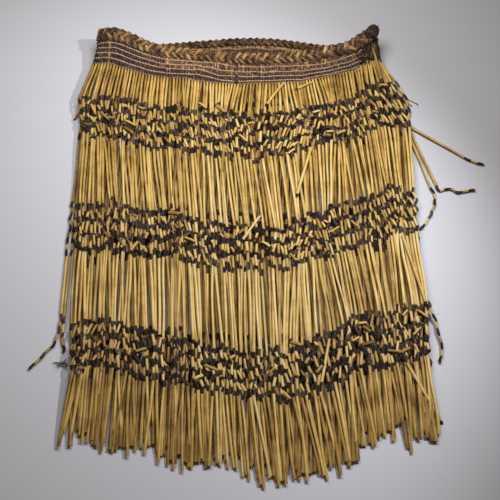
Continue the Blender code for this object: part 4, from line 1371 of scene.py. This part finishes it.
back_lengths = np.concatenate([
    middles(left_mid + half_arc, flat_left, CORNER_STRANDS),
    middles(flat_left, flat_right, BACK_GROUPS * BACK_STRANDS),
    middles(flat_right, right_mid - half_arc, CORNER_STRANDS),
])
left_names, right_names = (["strands_corner_" + side] * CORNER_STRANDS for side in ("left", "right"))
back_names = [f"strands_back_{number // BACK_STRANDS + 1}" for number in range(BACK_GROUPS * BACK_STRANDS)]
front_count = FRONT_GROUPS * FRONT_STRANDS
front_names = [f"strands_front_{number // FRONT_STRANDS + 1}" for number in range(front_count)]
back_jobs = strand_jobs("back", back_lengths, left_names + back_names + right_names)
front_jobs = strand_jobs("front", middles(left_mid - half_arc, LENGTH[0], front_count), front_names)
end_lengths = middles(LENGTH[-1], right_mid + half_arc, END_STRANDS)
end_jobs = strand_jobs("end", end_lengths, ["strands_end"] * END_STRANDS)
end_jobs += [["end", share, np.array(root), True, "strands_end"] for share, root in EXTRA_STRANDS]
for batch in (back_jobs, front_jobs, end_jobs):
    chance.shuffle(batch)
print("strands at the back, in front and on the turned end:", len(back_jobs), len(front_jobs), len(end_jobs))

# %% [markdown]
# Now each strand in turn is planned on the floor, laid on the pile and built. Its radius, its tone and the
# height of its end are left to chance within narrow limits, because no two leaves are alike.

# %% Lay the strands
RADIUS_LEAST, RADIUS_MOST = 0.84, 1.12
# the back layer's tone is kept this dark as painted shade, since the front lies over it
FRONT_TONE, BACK_SHADE_TONE, TONE_UNEVEN = 0.57, 0.04, 0.2
ENDS_UP, UP_CHANCE = 1.0, 0.5  # one end in two of the upper layer doesn't quite reach the floor
bundles = {}
for layer, share, root, extra, name in back_jobs + front_jobs + end_jobs:
    back = layer == "back"
    bundle = bundles.setdefault(name, Bundle(name, leaf, black))
    if back:
        right, left = (np.clip(1 - far / CORNER_SHARE, 0, 1) for far in (1 - share, share))
        root[0] += CORNER_PULL * (right - LEFT_PULL * left)
    radius = (BACK_RADIUS if back else TUBE_RADIUS) * chance.uniform(RADIUS_LEAST, RADIUS_MOST)
    plan, kinds, lifts = strand_plan(layer, share, root, extra)
    height = pile.lay(plan, radius, base_height(root, BACK_LEVEL if back else FRONT_LEVEL))
    z = np.interp(-plan[:, 1], -PILE_ROWS, height) + lifts
    up = chance.uniform(0.1, 0.6)
    z[-1] = min(z[-1], radius + up + (ENDS_UP if not back and chance.uniform() < UP_CHANCE else 0.0))
    z = np.maximum(z, radius + 0.3)
    z[0] = root[2]
    own_tone = BACK_SHADE_TONE if back else FRONT_TONE + np.interp(share, PALE_AT, PALE)
    tone = np.clip(chance.normal(own_tone, TONE_UNEVEN), 0.02, 1.0)
    strand(bundle, np.column_stack([plan, z]), kinds, radius, tone, hidden=back)
print("the pile is", round(max(high.max() for high in pile.high), 1), "mm high")

# %% [markdown]
# A few strands lie clear of the skirt on the floor. Each follows its own points. Past the end of their
# last tube they are bare fibre with a short tube here and there.

# %% Stray strands
# For each strand, its points on the floor, and the lengths along it at which its tubes and its stretches
# of fibre end by turns. The first is a tube.
STRAYS = {
    "strands_corner_right": (
        (
            (
                (236.0, -52.0), (245.5, -76.0), (248.0, -100.0),
                (249.0, -123.0), (322.0, -175.0), (350.0, -187.5),
            ),
            (38, 116, 211, 240),
        ),
        (
            (
                (233.5, -56.0), (242.0, -80.0), (246.5, -120.0), (249.5, -140.0),
                (277.0, -225.0), (284.3, -226.5), (295.4, -226.2), (301.7, -232.0),
                (313.0, -232.5), (322.7, -230.4), (332.6, -228.7), (336.0, -223.7),
            ),
            (40, 120, 222, 287),
        ),
        (
            (
                (230.0, -60.0), (238.5, -84.0), (243.0, -122.0), (245.5, -142.0), (267.5, -227.0),
                (272.3, -234.5), (270.7, -251.0), (260.3, -272.0), (249.2, -288.0), (243.5, -298.5),
            ),
            (40, 120, 223, 301),
        ),
    ),
    "strands_corner_left": (
        (
            ((-226.0, -66.0), (-225.0, -146.0), (-223.0, -330.0), (-222.0, -436.0), (-219.0, -472.0)),
            (52, 130, 236, 322, 412, 461),
        ),
        (
            ((-230.0, -64.0), (-229.5, -146.0), (-228.0, -330.0), (-229.0, -450.0), (-259.0, -497.0)),
            (52, 130, 236, 322, 408, 493),
        ),
    ),
}
CHAIN_LINK = 11.0
CHAIN_SWAY = 0.9
STRAY_SETTLE = 120.0
stray_places = {
    "strands_corner_left": middles(left_mid - half_arc, left_mid + half_arc, 2)[::-1],
    "strands_corner_right": middles(right_mid + half_arc, right_mid - half_arc, 3),
}


def along_route(at, route):
    """The point of a route at a length along it, or the points at several lengths."""
    far = lengths_along(route)
    return np.stack([np.interp(at, far, route[:, k]) for k in range(2)], axis=-1)


def chain_links(length):
    """How many links a stretch of fibre has. It is an odd number, because it begins and ends as fibre."""
    links = max(1, round(length / CHAIN_LINK))
    return links + 1 - links % 2


def stray_plan(route, ends):
    """The joints of a stray strand on the floor plan, and the kind of each link."""
    joints, kinds, start = [along_route(0.0, route)], [], 0.0
    for i, end in enumerate(ends):
        if i % 2 == 0:
            kinds.append("tube")
            joints.append(along_route(end, route))
        else:
            links = chain_links(end - start)
            for link in range(links):
                kinds.append("black" if link % 2 == 0 else "short")
                at = start + (end - start) * (link + 1) / links
                sway = chance.normal(0, CHAIN_SWAY, 2) if link < links - 1 else 0.0
                joints.append(along_route(at, route) + sway)
        start = end
    return np.array(joints), kinds


for name, strays in STRAYS.items():
    for (points, ends), length in zip(strays, stray_places[name]):
        root = root_point(length)
        radius = TUBE_RADIUS * chance.uniform(0.95, 1.05)
        joints, kinds = stray_plan(curve_through([root[:2], *points], 10), ends)
        down = lengths_along(joints)
        z = radius + 0.15 + (root[2] - radius) * (1 - smooth_step(down / STRAY_SETTLE))
        joints = np.column_stack([joints, z])
        strand(bundles[name], joints, kinds, radius, np.clip(chance.normal(0.5, 0.1), 0, 1))
        print(f"a stray strand of {down[-1]:.0f} mm")

# %% [markdown]
# A few tubes have broken loose or lie slantwise over their neighbours. Some fibre has come free too: a
# chain of short tubes hangs at the right edge, and the left strays end in a frayed tuft.

# %% Loose pieces
#    from, to, radius
LOOSE_TUBES = (
    ((66.2, -47.6), (40.7, -87.1), 2.15),
    ((108.9, -45.5), (86.4, -58.8), 1.85),
    ((29.5, -279.4), (6.7, -315.5), 2.05),
    ((13.1, -122.3), (23.2, -122.3), 1.95),
    ((-58.3, -85.5), (-46.8, -95.6), 1.95),
    ((-145.0, -93.7), (-137.6, -97.4), 1.75),
    ((69.5, -176.4), (78.9, -168.4), 1.75),
    ((32.0, -318.6), (42.5, -327.9), 1.95),
    ((102.2, -166.7), (80.4, -244.5), 2.25),
    ((218.9, -310.9), (240.1, -409.3), 2.25),
    ((209.3, -493.9), (246.1, -562.8), 2.25),
    ((242.0, -61.0), (260.5, -74.5), 0.9),
    ((241.0, -66.0), (252.0, -77.5), 0.8),
    ((-228.0, -91.0), (-239.0, -103.0), 1.75),
)
LOOSE_DEEP = 0.45  # a loose tube lies this far into the pile, as a share of its radius
FRONT_LEFT, FRONT_WIDE = -214.0, 98.0  # where the front's pieces begin, and the width of each
BESIDE = 230.0
LOOSE_CHAIN = ((246.0, -405.0), (251.0, -427.0), (253.6, -447.0), (257.0, -462.0), (254.5, -488.0))
CHAIN_TOP, CHAIN_BOTTOM, CHAIN_RADIUS = 8.0, 2.4, 2.0
TUFT_AT, TUFT_HAIRS = np.array((-217.0, -489.0, 3.0)), 16


def nearest_bundle(x):
    """The piece of strands that a loose tube at x belongs to."""
    if abs(x) >= BESIDE:
        return bundles["strands_corner_right" if x > 0 else "strands_corner_left"]
    group = int(np.clip((x - FRONT_LEFT) / FRONT_WIDE, 0, FRONT_GROUPS - 1)) + 1
    return bundles[f"strands_front_{group}"]


for start, end, radius in LOOSE_TUBES:
    heights = [max(pile.top(*place), 0.3) + radius * LOOSE_DEEP for place in (start, end)]
    line = np.linspace((*start, heights[0]), (*end, heights[1]), 4)
    bundle = nearest_bundle(start[0])
    rolled_tube(bundle, line, radius, np.clip(chance.normal(0.8, 0.1), 0, 1), SHORT_SIDES)
    way = unit(line[-1] - line[0])
    fibre_lock(bundle, line[-1], line[-1] + way * 4.0 + (0.0, 0.0, -0.5), way, way, radius * 0.55)
route = curve_through(LOOSE_CHAIN, 10)
far = lengths_along(route)[-1]
count = 2 * round(far / CHAIN_LINK / 2) + 1
joints = along_route(np.linspace(0, far, count + 1), route)
heights = np.linspace(CHAIN_TOP, CHAIN_BOTTOM, count + 1)
joints = np.column_stack([joints + chance.normal(0, 0.8, joints.shape), heights])
kinds = ["black" if link % 2 == 0 else "short" for link in range(count)]
strand(bundles["strands_corner_right"], joints, kinds, CHAIN_RADIUS, 0.55)
for hair in range(TUFT_HAIRS):
    way = unit(chance.normal(0, 1, 3) * (1.0, 0.8, 0.25))
    share = np.linspace(0, 1, 5)[:, None]
    line = TUFT_AT + way * share * chance.uniform(5, 12) + chance.normal(0, 1.8, 3) * share**2
    line[:, 2] = np.maximum(line[:, 2], 0.6)
    rings = sweep(line, round_section(4), np.linspace(0.55, 0.3, 5))
    bundles["strands_corner_left"].tube(rings, BLACK, chance.uniform(0.2, 0.9))
fringe = {name: bundle.tie() for name, bundle in bundles.items()}

# %% [markdown]
# ## What stands for what
#
# Every new piece takes the place of the plain solid of the same part. Nothing on a garment turns on a
# joint, so all of them ride on the one body. The band is the only sheet of cloth: it was twined flat,
# as long as the loop and as wide as the band is deep.

# %% Places on the one body
STANDS_FOR = {
    band: "waistband",
    plait: "waist_plait",
    knot: "tie_knot",
    **{fringe[f"strands_front_{k}"]: f"fringe_front_{k}" for k in range(1, 5)},
    **{fringe[f"strands_back_{k}"]: f"fringe_back_{k}" for k in range(1, 5)},
    fringe["strands_end"]: "fringe_end",
    fringe["strands_corner_left"]: "fringe_stray_left",
    fringe["strands_corner_right"]: "fringe_stray_right",
}
for piece, node in STANDS_FOR.items():
    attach(piece, "root")
    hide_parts(node)
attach(wefts, "root")
